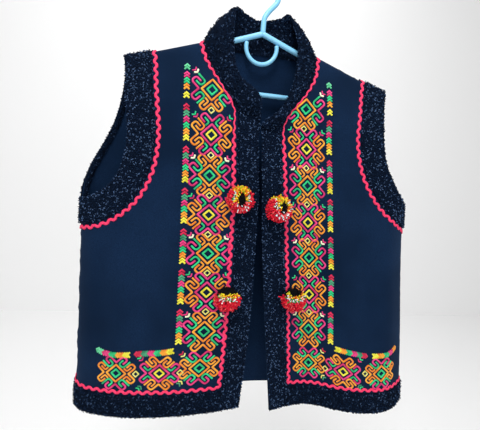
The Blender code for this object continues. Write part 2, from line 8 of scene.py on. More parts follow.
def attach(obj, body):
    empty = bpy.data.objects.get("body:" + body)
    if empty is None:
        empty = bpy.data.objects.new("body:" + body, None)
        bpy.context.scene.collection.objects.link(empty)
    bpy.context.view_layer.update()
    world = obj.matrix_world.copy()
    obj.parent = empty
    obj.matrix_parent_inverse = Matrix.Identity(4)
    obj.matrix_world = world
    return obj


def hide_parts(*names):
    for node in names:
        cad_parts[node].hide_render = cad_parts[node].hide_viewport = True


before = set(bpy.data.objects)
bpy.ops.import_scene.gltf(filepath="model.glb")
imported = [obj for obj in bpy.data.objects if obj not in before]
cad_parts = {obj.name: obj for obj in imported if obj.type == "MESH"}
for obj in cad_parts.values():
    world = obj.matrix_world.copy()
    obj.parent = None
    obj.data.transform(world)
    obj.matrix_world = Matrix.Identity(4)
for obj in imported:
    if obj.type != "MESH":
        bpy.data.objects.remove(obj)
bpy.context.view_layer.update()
print("packed vest loaded")

metresPerMm = 0.001

# The cut and the hang of the vest, in millimetres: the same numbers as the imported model.
cut = {
    "neckHeight": -95.0,
    "centreShift": 3.0,
    "shoulderSlope": 0.33,
    "slopeStart": 91.0,
    "panelHalf": 268.0,
    "length": 570.0,
    "hemBand": 34.0,
    "frontBand": 29.0,
    "armholeBand": 39.0,
    "swingStart": 120.0,
    "foldStart": 240.0,
    "chestArc": 150.0,
    "neckSetBack": 7.0,
    "neckSetArc": 90.0,
    "neckTurn": 11.0,
    "cornerLeft": 106.0,
    "cornerRight": 124.0,
}
shoulderDepth = {"front": 35.0, "back": 24.0}

# arc below the shoulder ridge, drop, front share and back share of the full depth
fallRows = [(0, 0, 0, 0), (4, 1.2, 0.106, 0.154), (8, 4, 0.183, 0.267), (14, 9.2, 0.25, 0.35),
            (22, 16.9, 0.31, 0.4), (32, 26.6, 0.385, 0.45), (55, 49.5, 0.585, 0.56),
            (85, 79.5, 0.8, 0.69), (120, 114.5, 0.88, 0.83), (160, 154.5, 0.95, 0.94),
            (220, 214.5, 1, 1), (700, 694.5, 1, 1)]

# across, sideways place and depth at the chest, sideways place and depth at the hem
planRows = {
    "frontLeft": [(0, 1, 33, 2, 47), (40, 41, 35, 42, 55), (80, 81, 36, 82, 60),
                  (120, 121, 36.5, 122, 62), (160, 161, 36, 162, 61), (200, 200, 35, 200.5, 55),
                  (230, 229.5, 31.5, 227, 47), (246, 243.8, 25.3, 241, 40), (256, 251, 19.5, 248.5, 33),
                  (263, 254.8, 13.8, 253.5, 25.5), (268, 256, 8, 256, 14)],
    "frontRight": [(0, 2, 31, 50, 57), (30, 32, 30, 79, 48), (60, 62, 30, 108, 43.5),
                   (90, 92, 30, 135, 48.5), (120, 122, 31, 161, 60), (155, 157, 34, 195, 69),
                   (190, 191, 40, 229, 71), (215, 215.5, 40.5, 253, 65.5), (232, 231.5, 36, 269, 57.5),
                   (246, 243, 29, 281.5, 49), (256, 249.5, 22.5, 290, 42), (263, 252.6, 17, 295, 35),
                   (268, 253.5, 12, 297, 27)],
    "backLeft": [(0, 0, 24, 0, 17), (60, 60, 23.5, 60, 13), (120, 120, 22.5, 119, 15),
                 (170, 169, 20.5, 168, 13), (205, 203.5, 19, 203.5, 13), (230, 227.5, 12.5, 227.5, 7),
                 (246, 242.5, 6, 242.5, 1), (256, 250.5, 0.5, 250.5, -4.5), (263, 255, -3.7, 255, -9.5),
                 (268, 256, -8, 256, -14)],
    "backRight": [(0, 0, 24, 0, 17), (60, 60, 23.5, 66, 19), (120, 120, 22.5, 133, 14),
                  (170, 169, 20.5, 189, 17), (205, 204, 17, 230, 14), (230, 227.5, 9.5, 257, 6.5),
                  (246, 241.5, 2.5, 274, -1.5), (256, 248.8, -3.5, 284.5, -9.5),
                  (263, 252.4, -8, 292, -17.5), (268, 253.5, -12, 297, -27)],
}

# how far each front swings in toward the middle on its way down, and how wide a strip of it takes part
frontBow = {
    "frontLeft": [(150, 0), (200, 4), (240, 7.5), (300, 8.5), (390, 9.5), (470, 8), (540, 4), (578, 2)],
    "frontRight": [(150, 0), (240, 1.5), (300, 2.5), (470, 2.5), (540, 1), (578, 0)],
}
bowReach = {"frontLeft": 130.0, "frontRight": 34.0}

# the sewing line of the front band below the collar
frontSeams = {
    "frontLeft": [(32, 160), (31, 536)],
    "frontRight": [(31, 180), (33, 260), (33.5, 420), (32, 536)],
}

# edges of the layout as (across, down)
necklines = {
    "frontLeft": [(89, 0), (86, 18), (78, 37), (65, 56), (52, 75), (39.5, 93), (34, 106)],
    "frontRight": [(81, 0), (79, 22), (75, 42), (63, 65), (48, 85), (35, 105), (29, 124)],
    "back": [(-89, 0), (-86, 5.5), (-60, 6), (-30, 6), (0, 6), (27, 6), (54, 6), (77, 5.5), (81, 0)],
}
armholes = {
    "frontLeft": [(204, 37.6), (201, 52), (197, 88), (193, 120), (190, 148), (190.5, 172), (194, 192),
                  (201, 210), (210.5, 224), (225, 237), (243, 246), (268, 250)],
    "frontRight": [(209, 36.3), (206, 52), (202, 88), (200, 120), (201, 142), (205, 162), (212, 180),
                   (222, 196), (236, 211), (252, 222), (268, 228)],
    "backLeft": [(204, 37.6), (205, 67), (211, 105), (222, 140), (236, 170), (251, 200), (261, 225),
                 (268, 250)],
    "backRight": [(204, 37.6), (205, 67), (211, 103), (222, 135), (236, 162), (251, 187), (261, 208),
                  (268, 228)],
}

# soft creases pressed by hand: panel, start and end in the layout, half width, height (troughs below zero)
creases = [
    ("frontLeft", (128, 215), (112, 520), 15, 2.2),
    ("frontLeft", (158, 250), (150, 500), 17, -2.0),
    ("frontLeft", (196, 262), (186, 470), 15, 2.4),
    ("frontLeft", (222, 262), (150, 330), 14, -1.8),
    ("frontLeft", (232, 300), (236, 520), 13, 1.6),
    ("frontLeft", (150, 60), (140, 190), 18, 1.2),
    ("frontRight", (128, 230), (138, 500), 16, 1.8),
    ("frontRight", (170, 240), (176, 520), 17, -2.2),
    ("frontRight", (214, 236), (212, 500), 14, 2.0),
    ("frontRight", (216, 214), (150, 300), 15, -1.4),
    ("frontRight", (150, 50), (148, 190), 18, 1.1),
    ("back", (-150, 120), (-120, 540), 20, 2.6),
    ("back", (-90, 200), (-70, 560), 19, -2.4),
    ("back", (-30, 90), (-20, 500), 22, 1.8),
    ("back", (44, 180), (60, 560), 20, -2.6),
    ("back", (110, 130), (128, 560), 20, 2.6),
    ("back", (176, 260), (186, 560), 17, -2.0),
    ("back", (-206, 260), (-200, 540), 16, 2.0),
    ("back", (-150, 60), (40, 84), 13, -1.2),
]


def softStep(share):
    share = np.clip(share, 0.0, 1.0)
    return share * share * (3 - 2 * share)


def curveValue(rows, keyColumn, wantedColumn, at):
    # a soft curve through the rows
    keys = np.array([row[keyColumn] for row in rows], float)
    values = np.array([row[wantedColumn] for row in rows], float)
    at = np.clip(np.asarray(at, float), keys[0], keys[-1])
    index = np.clip(np.searchsorted(keys, at) - 1, 0, len(keys) - 2)
    slopes = np.empty_like(values)
    slopes[1:-1] = (values[2:] - values[:-2]) / (keys[2:] - keys[:-2])
    slopes[0] = (values[1] - values[0]) / (keys[1] - keys[0])
    slopes[-1] = (values[-1] - values[-2]) / (keys[-1] - keys[-2])
    span = keys[index + 1] - keys[index]
    u = (at - keys[index]) / span
    start = (1 + 2 * u) * (1 - u) ** 2 * values[index] + u * (1 - u) ** 2 * span * slopes[index]
    end = u * u * (3 - 2 * u) * values[index + 1] + u * u * (u - 1) * span * slopes[index + 1]
    return start + end


def shoulderDrop(sideways):
    return cut["shoulderSlope"] * np.maximum(np.abs(sideways) - cut["slopeStart"], 0.0)


def planValue(panel, across, column):
    if panel != "back":
        return curveValue(planRows[panel], 0, column, across)
    reach = np.abs(across)
    left = curveValue(planRows["backLeft"], 0, column, reach)
    right = curveValue(planRows["backRight"], 0, column, reach)
    return np.where(across < 0, left, right)


def sideSign(panel, across):
    if panel == "frontLeft":
        return -np.ones_like(across)
    if panel == "frontRight":
        return np.ones_like(across)
    return np.where(across < 0, -1.0, 1.0)


def sidewaysPlace(panel, across, down):
    swing = np.clip((down - cut["swingStart"]) / (cut["length"] - cut["swingStart"]), 0, 1)
    chest = planValue(panel, across, 1)
    place = chest + (planValue(panel, across, 3) - chest) * swing
    if panel in frontBow:
        place = place - curveValue(frontBow[panel], 0, 1, down) * (1 - softStep(across / bowReach[panel]))
    return place


def hang(panel, across, down):
    # where a point of the layout hangs, in millimetres
    side = "back" if panel == "back" else "front"
    x = sidewaysPlace(panel, across, down)
    fold = softStep((down - cut["foldStart"]) / (cut["length"] - cut["foldStart"]))
    chestDepth = planValue(panel, across, 2)
    hemDepth = planValue(panel, across, 4)
    drop = shoulderDrop(x)
    arc = np.maximum(down - drop, 0)
    chestShare = softStep(arc / cut["chestArc"])
    depth = shoulderDepth[side] * (1 - chestShare) + chestDepth * chestShare + (hemDepth - chestDepth) * fold
    y = depth * curveValue(fallRows, 0, 3 if side == "back" else 2, arc)
    if side == "back":
        y += cut["neckSetBack"] * softStep((cut["slopeStart"] - x) / cut["neckTurn"]) * (
            1 - softStep(arc / cut["neckSetArc"]))
    else:
        y = -y
    z = cut["neckHeight"] - drop - curveValue(fallRows, 0, 1, arc)
    return np.stack([sideSign(panel, across) * x + cut["centreShift"], y, z], axis=-1)


def unit(vectors):
    return vectors / np.maximum(np.linalg.norm(vectors, axis=-1, keepdims=True), 1e-9)


def clothFrame(panel, across, down):
    # the cloth's directions at points of the layout: across, out of the cloth
    step = 1.5
    toSide = hang(panel, across + step, down) - hang(panel, across - step, down)
    toHem = hang(panel, across, down + step) - hang(panel, across, np.maximum(down - step, 0))
    normal = unit(np.cross(toSide, toHem))
    if panel == "frontRight":
        normal = -normal
    sign = sideSign(panel, across)
    sideways = np.stack([sign, 0 * sign, 0 * sign], axis=-1)
    atSeam = softStep((np.abs(across) - 260) / 8)[:, None]
    normal = unit(normal * (1 - atSeam) + sideways * atSeam)
    x = sidewaysPlace(panel, across, down)
    slope = np.where(x > cut["slopeStart"], cut["shoulderSlope"], cut["shoulderSlope"] * 0.5)
    upward = unit(np.stack([sign * slope, 0 * sign, np.ones_like(sign)], axis=-1))
    arc = down - shoulderDrop(x)
    atRidge = (1 - softStep(arc / 5))[:, None]
    normal = unit(normal * (1 - atRidge) + upward * atRidge)
    along = unit(toSide - normal * np.sum(toSide * normal, axis=-1, keepdims=True))
    return along, normal, arc


def creaseHeight(panel, across, down, arc):
    height = np.zeros_like(across)
    for owner, start, end, halfWidth, rise in creases:
        if owner != panel:
            continue
        run = np.array(end, float) - np.array(start, float)
        length = np.linalg.norm(run)
        offset = np.stack([across - start[0], down - start[1]], axis=-1)
        along = offset @ run / length ** 2
        away = np.abs(offset[:, 0] * run[1] - offset[:, 1] * run[0]) / length
        wander = 5 * np.sin(along * 7 + rise * 3)
        away = np.abs(away + wander * 0.6)
        ends = softStep((along + 0.18) / 0.36) * softStep((1.18 - along) / 0.36)
        height += rise * np.exp(-(away / halfWidth) ** 2) * ends
    calm = softStep((cut["panelHalf"] - np.abs(across)) / 34) * softStep((arc - 8) / 40)
    return height * calm


def surface(panel, flat, out):
    # points of the layout on the hanging cloth, moved out of its face
    flat = np.asarray(flat, float)
    across = flat[:, 0]
    down = flat[:, 1]
    along, normal, arc = clothFrame(panel, across, down)
    rise = creaseHeight(panel, across, down, arc) + out
    return hang(panel, across, down) + normal * rise[:, None], along, normal


# Flat lines and outlines

def softLine(points, perSpan=4):
    points = np.asarray(points, float)
    runs = np.concatenate([[0], np.cumsum(np.linalg.norm(np.diff(points, axis=0), axis=1))])
    rows = [(run, p[0], p[1]) for run, p in zip(runs, points)]
    spans = [np.linspace(a, b, perSpan, endpoint=False) for a, b in zip(runs, runs[1:])]
    at = np.concatenate(spans + [[runs[-1]]])
    return np.stack([curveValue(rows, 0, 1, at), curveValue(rows, 0, 2, at)], axis=-1)


def resample(points, step):
    points = np.asarray(points, float)
    result = [points[:1]]
    for a, b in zip(points, points[1:]):
        count = max(1, round(np.linalg.norm(b - a) / step))
        shares = np.arange(1, count + 1)[:, None] / count
        result.append(a + (b - a) * shares)
    return np.concatenate(result)


def evenSteps(points, step):
    # the same line with equal steps along its whole length
    points = np.asarray(points, float)
    runs = np.concatenate([[0], np.cumsum(np.linalg.norm(np.diff(points, axis=0), axis=1))])
    count = max(2, round(runs[-1] / step))
    at = np.linspace(0, runs[-1], count + 1)
    return np.stack([np.interp(at, runs, points[:, 0]), np.interp(at, runs, points[:, 1])], axis=-1), at


def lineNormals(points):
    steps = unit(np.diff(points, axis=0))
    first = np.concatenate([steps[:1], steps])
    second = np.concatenate([steps, steps[-1:]])
    middle = unit(first + second)
    normal = np.stack([-middle[:, 1], middle[:, 0]], axis=-1)
    stretch = 1 / np.maximum(np.sum(middle * first, axis=1), 0.5)
    return normal * stretch[:, None]


def beside(points, distance, overrun=0.0):
    line = np.array(points, float)
    if overrun:
        line[0] += unit(line[0] - line[1]) * overrun
        line[-1] += unit(line[-1] - line[-2]) * overrun
    return line + lineNormals(line) * distance


def strip(line, near, far):
    return np.concatenate([beside(line, near, 30), beside(line, far, 30)[::-1]])


def insideOutline(points, outline):
    a = np.asarray(outline, float)
    b = np.roll(a, -1, axis=0)
    x = points[:, 0][:, None]
    y = points[:, 1][:, None]
    crossing = (a[:, 1] > y) != (b[:, 1] > y)
    with np.errstate(divide="ignore", invalid="ignore"):
        at = a[:, 0] + (y - a[:, 1]) * (b[:, 0] - a[:, 0]) / (b[:, 1] - a[:, 1])
    return (crossing & (x < at)).sum(axis=1) % 2 == 1


def distanceTo(points, line):
    best = np.full(len(points), 1e9)
    line = np.asarray(line, float)
    for a, b in zip(line, line[1:]):
        d = b - a
        share = np.clip(((points - a) @ d) / max(d @ d, 1e-9), 0, 1)
        best = np.minimum(best, np.linalg.norm(points - a - share[:, None] * d, axis=1))
    return best


def closedLine(outline):
    return np.concatenate([outline, outline[:1]])


def turned(outline):
    following = np.roll(outline, -1, axis=0)
    area = np.sum(outline[:, 0] * following[:, 1] - following[:, 0] * outline[:, 1])
    return outline if area > 0 else outline[::-1]


def scattered(outlines, spacing, clear, seed):
    # uneven points inside every one of the outlines
    rng = np.random.default_rng(seed)
    low = np.max([o.min(axis=0) for o in outlines], axis=0)
    high = np.min([o.max(axis=0) for o in outlines], axis=0)
    columns = np.arange(low[0] + spacing / 2, high[0], spacing)
    rows = np.arange(low[1] + spacing / 2, high[1], spacing * 0.87)
    grid = np.array([(c + (0.5 * spacing if i % 2 else 0), r) for i, r in enumerate(rows) for c in columns])
    grid += rng.uniform(-0.22, 0.22, grid.shape) * spacing
    keep = np.ones(len(grid), bool)
    for outline in outlines:
        keep &= insideOutline(grid, outline)
    grid = grid[keep]
    keep = np.ones(len(grid), bool)
    for outline in outlines:
        keep &= distanceTo(grid, closedLine(outline)) > clear
    return grid[keep]


def flatTriangles(outlines, spacing, seed):
    # triangles over the part of the layout that lies inside every outline
    outlines = [turned(np.asarray(o, float)) for o in outlines]
    points = []
    rings = []
    for outline in outlines:
        rings.append(list(range(len(points), len(points) + len(outline))))
        points.extend(tuple(p) for p in outline)
    points.extend(tuple(p) for p in scattered(outlines, spacing, spacing * 0.45, seed))
    found = delaunay_2d_cdt([Vector(p) for p in points], [], rings, 1, 1e-3, True)
    flat = np.array([tuple(v) for v in found[0]])
    wanted = set(range(len(outlines)))
    triangles = np.array([f for f, source in zip(found[2], found[5]) if wanted <= set(source)])
    used, triangles = np.unique(triangles, return_inverse=True)
    return flat[used], triangles.reshape(-1, 3)


def rimEdges(triangles):
    edges = np.concatenate([triangles[:, [0, 1]], triangles[:, [1, 2]], triangles[:, [2, 0]]])
    seen = set(map(tuple, edges.tolist()))
    return np.array([e for e in seen if (e[1], e[0]) not in seen])


# Meshes and finishes

def buildMesh(name, points, faces, sharpAngle=None):
    mesh = bpy.data.meshes.new(name)
    mesh.from_pydata((np.asarray(points) * metresPerMm).tolist(), [], faces)
    mesh.validate()
    mesh.polygons.foreach_set("use_smooth", [True] * len(mesh.polygons))
    if sharpAngle:
        mesh.set_sharp_from_angle(angle=math.radians(sharpAngle))
    mesh.update()
    made = bpy.data.objects.new(name, mesh)
    bpy.context.scene.collection.objects.link(made)
    return made


def addNumbers(piece, name, values):
    attribute = piece.data.attributes.new(name, "FLOAT", "POINT")
    attribute.data.foreach_set("value", np.asarray(values, np.float32))


def addColours(piece, name, values):
    attribute = piece.data.attributes.new(name, "FLOAT_COLOR", "POINT")
    full = np.concatenate([np.asarray(values, np.float32), np.ones((len(values), 1), np.float32)], axis=1)
    attribute.data.foreach_set("color", full.ravel())


def shade(red, green, blue):
    # a colour picked on screen, as light
    values = np.array([red, green, blue], float) / 255
    return tuple(np.where(values <= 0.04045, values / 12.92, ((values + 0.055) / 1.055) ** 2.4))


def ribbonMesh(panel, path, width, layer, heights):
    # a raised ribbon along a flat path: points, faces and the run and side of every point
    normals = lineNormals(path)
    limit = np.linalg.norm(normals, axis=1, keepdims=True)
    normals = normals / limit * np.minimum(limit, 1.5)
    offsets = (-0.5, -0.34, 0.0, 0.34, 0.5)
    runs = np.concatenate([[0], np.cumsum(np.linalg.norm(np.diff(path, axis=0), axis=1))])
    wide = np.broadcast_to(np.asarray(width, float), (len(path),))
    flat = np.concatenate([path + normals * offset * wide[:, None] for offset in offsets])
    out = np.concatenate([np.full(len(path), layer[0] + (layer[1] - layer[0]) * h) for h in heights])
    points = surface(panel, flat, out)[0]
    count = len(path)
    i = np.arange(count - 1)
    faces = []
    for k in range(len(offsets) - 1):
        a = k * count + i
        faces.append(np.stack([a, a + 1, a + 1 + count, a + count], axis=-1))
    under = (len(offsets) - 1) * count + i
    faces.append(np.stack([under, under + 1, i + 1, i], axis=-1))
    faces = np.concatenate(faces).tolist()
    faces.append([k * count for k in range(len(offsets))])
    faces.append([k * count + count - 1 for k in range(len(offsets) - 1, -1, -1)])
    if panel == "frontRight":
        faces = [face[::-1] for face in faces]
    return points, faces, np.tile(runs, len(offsets)), np.concatenate([offset * wide for offset in offsets])


def joined(parts):
    points = []
    faces = []
    start = 0
    for partPoints, partFaces in parts:
        points.append(partPoints)
        faces.extend([[i + start for i in face] for face in partFaces])
        start += len(partPoints)
    return np.concatenate(points), faces


def newMaterial(name, roughness, base=(0.5, 0.5, 0.5)):
    material = bpy.data.materials.new(name)
    material.use_nodes = True
    shader = material.node_tree.nodes["Principled BSDF"]
    shader.inputs["Base Color"].default_value = (*base, 1)
    shader.inputs["Roughness"].default_value = roughness
    return material, material.node_tree, shader


def noiseNode(tree, scale, detail):
    coordinates = tree.nodes.new("ShaderNodeTexCoord")
    noise = tree.nodes.new("ShaderNodeTexNoise")
    noise.inputs["Scale"].default_value = scale
    noise.inputs["Detail"].default_value = detail
    tree.links.new(coordinates.outputs["Object"], noise.inputs["Vector"])
    return noise


def mixColours(tree, factor, first, second):
    mix = tree.nodes.new("ShaderNodeMix")
    mix.data_type = "RGBA"
    tree.links.new(factor, mix.inputs[0])
    for socket, value in ((mix.inputs[6], first), (mix.inputs[7], second)):
        if isinstance(value, tuple):
            socket.default_value = (*value, 1)
        else:
            tree.links.new(value, socket)
    return mix.outputs[2]


def ramp(tree, source, start, end):
    spread = tree.nodes.new("ShaderNodeMapRange")
    spread.interpolation_type = "SMOOTHSTEP"
    spread.inputs["From Min"].default_value = start
    spread.inputs["From Max"].default_value = end
    tree.links.new(source, spread.inputs["Value"])
    return spread.outputs["Result"]


def bump(tree, shader, source, strength, distance):
    node = tree.nodes.new("ShaderNodeBump")
    node.inputs["Strength"].default_value = strength
    node.inputs["Distance"].default_value = distance
    tree.links.new(source, node.inputs["Height"])
    tree.links.new(node.outputs["Normal"], shader.inputs["Normal"])
    return node


feltLook = {
    "dark": shade(9, 25, 46),
    "light": shade(20, 41, 70),
    "nap": 900.0,
    "patch": 9.0,
}


def feltMaterial():
    material, tree, shader = newMaterial("navy felt", 0.97)
    nap = noiseNode(tree, feltLook["nap"], 3.0)
    patch = noiseNode(tree, feltLook["patch"], 3.0)
    cloudy = ramp(tree, patch.outputs["Fac"], 0.3, 0.7)
    cloud = mixColours(tree, cloudy, feltLook["dark"], feltLook["light"])
    fine = mixColours(tree, ramp(tree, nap.outputs["Fac"], 0.25, 0.75), feltLook["dark"], cloud)
    tree.links.new(fine, shader.inputs["Base Color"])
    shader.inputs["Sheen Weight"].default_value = 0.06
    shader.inputs["Sheen Roughness"].default_value = 0.5
    shader.inputs["Sheen Tint"].default_value = (0.3, 0.5, 0.9, 1)
    shader.inputs["Specular IOR Level"].default_value = 0.04
    bump(tree, shader, nap.outputs["Fac"], 0.35, 0.0006)
    return material


pileLook = {
    "shadow": shade(4, 11, 24),
    "body": shade(17, 33, 57),
    "fleck": shade(72, 95, 130),
}


def pileMaterial():
    material, tree, shader = newMaterial("boucle pile", 0.95)
    tone = tree.nodes.new("ShaderNodeAttribute")
    tone.attribute_name = "tone"
    base = mixColours(tree, ramp(tree, tone.outputs["Fac"], 0.0, 0.55), pileLook["shadow"], pileLook["body"])
    flecked = mixColours(tree, ramp(tree, tone.outputs["Fac"], 0.62, 1.0), base, pileLook["fleck"])
    fibre = noiseNode(tree, 1400.0, 2.0)
    tree.links.new(flecked, shader.inputs["Base Color"])
    shader.inputs["Specular IOR Level"].default_value = 0.05
    bump(tree, shader, fibre.outputs["Fac"], 0.6, 0.0006)
    return material


braidColours = {
    "dark": shade(214, 32, 78),
    "light": shade(246, 66, 112),
}


def rickrackMaterial():
    material, tree, shader = newMaterial("coral rick-rack", 0.7)
    run = tree.nodes.new("ShaderNodeAttribute")
    run.attribute_name = "run"
    weave = noiseNode(tree, 700.0, 1.0)
    woven = ramp(tree, weave.outputs["Fac"], 0.3, 0.7)
    tint = mixColours(tree, woven, braidColours["dark"], braidColours["light"])
    tree.links.new(tint, shader.inputs["Base Color"])
    shader.inputs["Specular IOR Level"].default_value = 0.3
    bump(tree, shader, run.outputs["Fac"], 0.5, 0.0003)
    return material


def threadMaterial():
    material, tree, shader = newMaterial("embroidery thread", 0.5)
    tint = tree.nodes.new("ShaderNodeAttribute")
    tint.attribute_name = "thread"
    run = tree.nodes.new("ShaderNodeAttribute")
    run.attribute_name = "run"
    tree.links.new(tint.outputs["Color"], shader.inputs["Base Color"])
    shader.inputs["Specular IOR Level"].default_value = 0.35
    shader.inputs["Sheen Weight"].default_value = 0.05
    stitches = tree.nodes.new("ShaderNodeMath")
    stitches.operation = "SINE"
    tree.links.new(run.outputs["Fac"], stitches.inputs[0])
    bump(tree, shader, stitches.outputs["Value"], 0.5, 0.0004)
    return material


def yarnMaterial():
    material, tree, shader = newMaterial("pom-pom yarn", 0.9)
    tint = tree.nodes.new("ShaderNodeAttribute")
    tint.attribute_name = "yarn"
    tree.links.new(tint.outputs["Color"], shader.inputs["Base Color"])
    fibre = noiseNode(tree, 1800.0, 2.0)
    shader.inputs["Specular IOR Level"].default_value = 0.15
    bump(tree, shader, fibre.outputs["Fac"], 0.5, 0.0004)
    return material


def hangerMaterial():
    material, tree, shader = newMaterial("light blue plastic", 0.32, shade(128, 196, 232))
    shader.inputs["Specular IOR Level"].default_value = 0.5
    shader.inputs["Subsurface Weight"].default_value = 0.15
    shader.inputs["Subsurface Radius"].default_value = (0.002, 0.004, 0.006)
    return material


felt = feltMaterial()
pile = pileMaterial()
coral = rickrackMaterial()
threads = threadMaterial()
yarn = yarnMaterial()
plastic = hangerMaterial()


def finishPiece(piece, material, nodes):
    piece.data.materials.append(material)
    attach(piece, "root")
    if nodes:
        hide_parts(*nodes)
    return piece


# Outlines of the cloth panels

def panelOutline(panel, step=7.0):
    bottom = cut["length"]
    half = cut["panelHalf"]
    if panel == "back":
        neck = softLine(necklines["back"])
        left = softLine(armholes["backLeft"]) * (-1, 1)
        right = softLine(armholes["backRight"])
        corners = np.concatenate([neck, right, [(half, bottom), (-half, bottom)], left[::-1]])
    else:
        neck = softLine(necklines[panel])
        scye = softLine(armholes[panel])
        corner = cut["cornerLeft"] if panel == "frontLeft" else cut["cornerRight"]
        corners = np.concatenate([neck, [(0, corner), (0, bottom), (half, bottom)], scye[::-1]])
    return resample(closedLine(corners), step)[:-1]


outlines = {panel: panelOutline(panel) for panel in ("frontLeft", "frontRight", "back")}
clothLayer = {"felt": (-2.0, 0.0), "pile": (0.3, 2.7), "facing": (-4.6, -2.1)}


def shellFaces(panel, triangles, count):
    outer = triangles if panel == "frontRight" else triangles[:, ::-1]
    inner = outer[:, ::-1] + count
    rims = rimEdges(outer)
    walls = np.stack([rims[:, 1], rims[:, 0], rims[:, 0] + count, rims[:, 1] + count], axis=-1)
    return outer.tolist() + inner.tolist() + walls.tolist()


def feltPanel(name, panel, seed):
    flat, triangles = flatTriangles([outlines[panel]], 8.0, seed)
    rim = distanceTo(flat, closedLine(outlines[panel]))
    low, high = clothLayer["felt"]
    roundOff = 0.5 * (1 - softStep(rim / 2.0))
    outer = surface(panel, flat, high - roundOff)[0]
    inner = surface(panel, flat, low + roundOff)[0]
    faces = shellFaces(panel, triangles, len(flat))
    piece = buildMesh(name + "_felt", np.concatenate([outer, inner]), faces, 50)
    return finishPiece(piece, felt, [name])


curlLook = {
    "rings": 4,
    "sides": 4,
    "turn": (3.2, 4.9),
    "loop": (0.85, 1.5),
    "yarn": (0.5, 0.78),
    "tilt": 1.25,
}


def curlMesh(points, along, normal, seed, brighter=0.0):
    # little loops of pile yarn standing in the surface
    rng = np.random.default_rng(seed)
    count = len(points)
    rings = curlLook["rings"]
    sides = curlLook["sides"]
    turn = rng.uniform(*curlLook["turn"], count)[:, None] * np.linspace(0, 1, rings)[None]
    loop = rng.uniform(*curlLook["loop"], count)[:, None]
    thickness = rng.uniform(*curlLook["yarn"], count)[:, None, None]
    climb = np.linspace(-0.5, 0.7, rings)[None] * loop
    centre = np.stack([loop * np.cos(turn), loop * np.sin(turn), climb], axis=-1)
    outwardRing = np.stack([np.cos(turn), np.sin(turn), 0 * turn], axis=-1)
    angles = np.linspace(0, 2 * math.pi, sides, endpoint=False)
    taper = np.array([0.78, 1.06, 1.06, 0.78])[None, :, None]
    rounds = []
    for angle in angles:
        away = outwardRing * math.cos(angle) + np.array([0, 0, math.sin(angle)])
        rounds.append(centre + away * thickness * taper)
    local = np.stack(rounds, axis=2).reshape(count, rings * sides, 3)
    tilt = rng.uniform(-curlLook["tilt"], curlLook["tilt"], count)
    spin = rng.uniform(0, 2 * math.pi, count)
    c, s = np.cos(tilt)[:, None], np.sin(tilt)[:, None]
    x = local[..., 0]
    y = local[..., 1] * c - local[..., 2] * s
    z = local[..., 1] * s + local[..., 2] * c
    c, s = np.cos(spin)[:, None], np.sin(spin)[:, None]
    x, y = x * c - y * s, x * s + y * c
    second = np.cross(normal, along)
    placed = (points[:, None] + along[:, None] * x[..., None] + second[:, None] * y[..., None]
              + normal[:, None] * z[..., None])
    ring = np.arange(rings - 1)[:, None] * sides
    around = np.arange(sides)[None]
    following = (around + 1) % sides
    above = ring + sides
    quads = np.stack([ring + around, ring + following, above + following, above + around], axis=-1)
    quads = quads.reshape(-1, 4)
    last = (rings - 1) * sides
    caps = np.array([[3, 2, 1, 0], [last, last + 1, last + 2, last + 3]])
    template = np.concatenate([quads, caps])
    faces = (template[None] + (np.arange(count) * rings * sides)[:, None, None]).reshape(-1, 4)
    tone = np.where(rng.random(count) < 0.22 + brighter, rng.uniform(0.64, 0.9 + brighter, count),
                    rng.uniform(brighter, 0.6, count))
    return placed.reshape(-1, 3), faces.tolist(), np.repeat(tone, rings * sides)


pileSpacing = 3.5
# the ground cloth under the loops gets a low tone, close to the shadow colour: painted shade between the
# loops
groundTone = 0.12
bandStep = 4.5


def pileBand(name, panel, region, seed, layerName="pile", nodes=None, side=1, brighter=0.0):
    # a strip of boucle: its ground cloth and the loops standing on it
    bounds = [outlines[panel], region]
    flat, triangles = flatTriangles(bounds, bandStep, seed)
    rng = np.random.default_rng(seed + 1)
    rims = rimEdges(triangles)
    edge = np.isin(np.arange(len(flat)), rims)
    low, high = clothLayer[layerName]
    jitter = rng.uniform(-0.4, 0.4, len(flat))
    outerOut = np.where(edge, high - 0.9 * (side > 0), high + jitter * (side > 0))
    innerOut = np.where(edge, low + 0.9 * (side < 0), low + jitter * (side < 0))
    outer = surface(panel, flat, outerOut)[0]
    inner = surface(panel, flat, innerOut)[0]
    faces = shellFaces(panel, triangles, len(flat))
    ground = buildMesh(name + "_ground", np.concatenate([outer, inner]), faces)
    addNumbers(ground, "tone", np.full(len(flat) * 2, groundTone))
    finishPiece(ground, pile, nodes if nodes is not None else [name])
    seeds = scattered([np.asarray(b, float) for b in bounds], pileSpacing, 0.8, seed + 2)
    rimPoints = flat[np.unique(rims)]
    middle = flat[triangles].mean(axis=1)
    nearest = np.array([middle[np.argmin(np.linalg.norm(middle - p, axis=1))] for p in rimPoints])
    rimPoints = rimPoints + unit(nearest - rimPoints) * 0.6
    places = np.concatenate([seeds, rimPoints])
    lift = (high if side > 0 else low) + side * rng.uniform(-0.5, 0.6, len(places))
    lift[len(seeds):] -= side * 0.9
    points, along, normal = surface(panel, places, lift)
    curlPoints, curlFaces, tone = curlMesh(points, along, normal * side, seed + 3, brighter)
    curls = buildMesh(name + "_loops", curlPoints, curlFaces)
    addNumbers(curls, "tone", tone)
    finishPiece(curls, pile, [])
    return ground, curls, flat, triangles


trims = {"frontLeft": [], "frontRight": [], "back": []}
rickrackLook = {
    "width": 4.1,
    "pitch": 12.8,
    "wave": 1.7,
    "layer": (0.25, 1.5),
    "profile": (0.0, 0.9, 1.0, 0.9, 0.0),
    "fromSeam": 5.0,
}


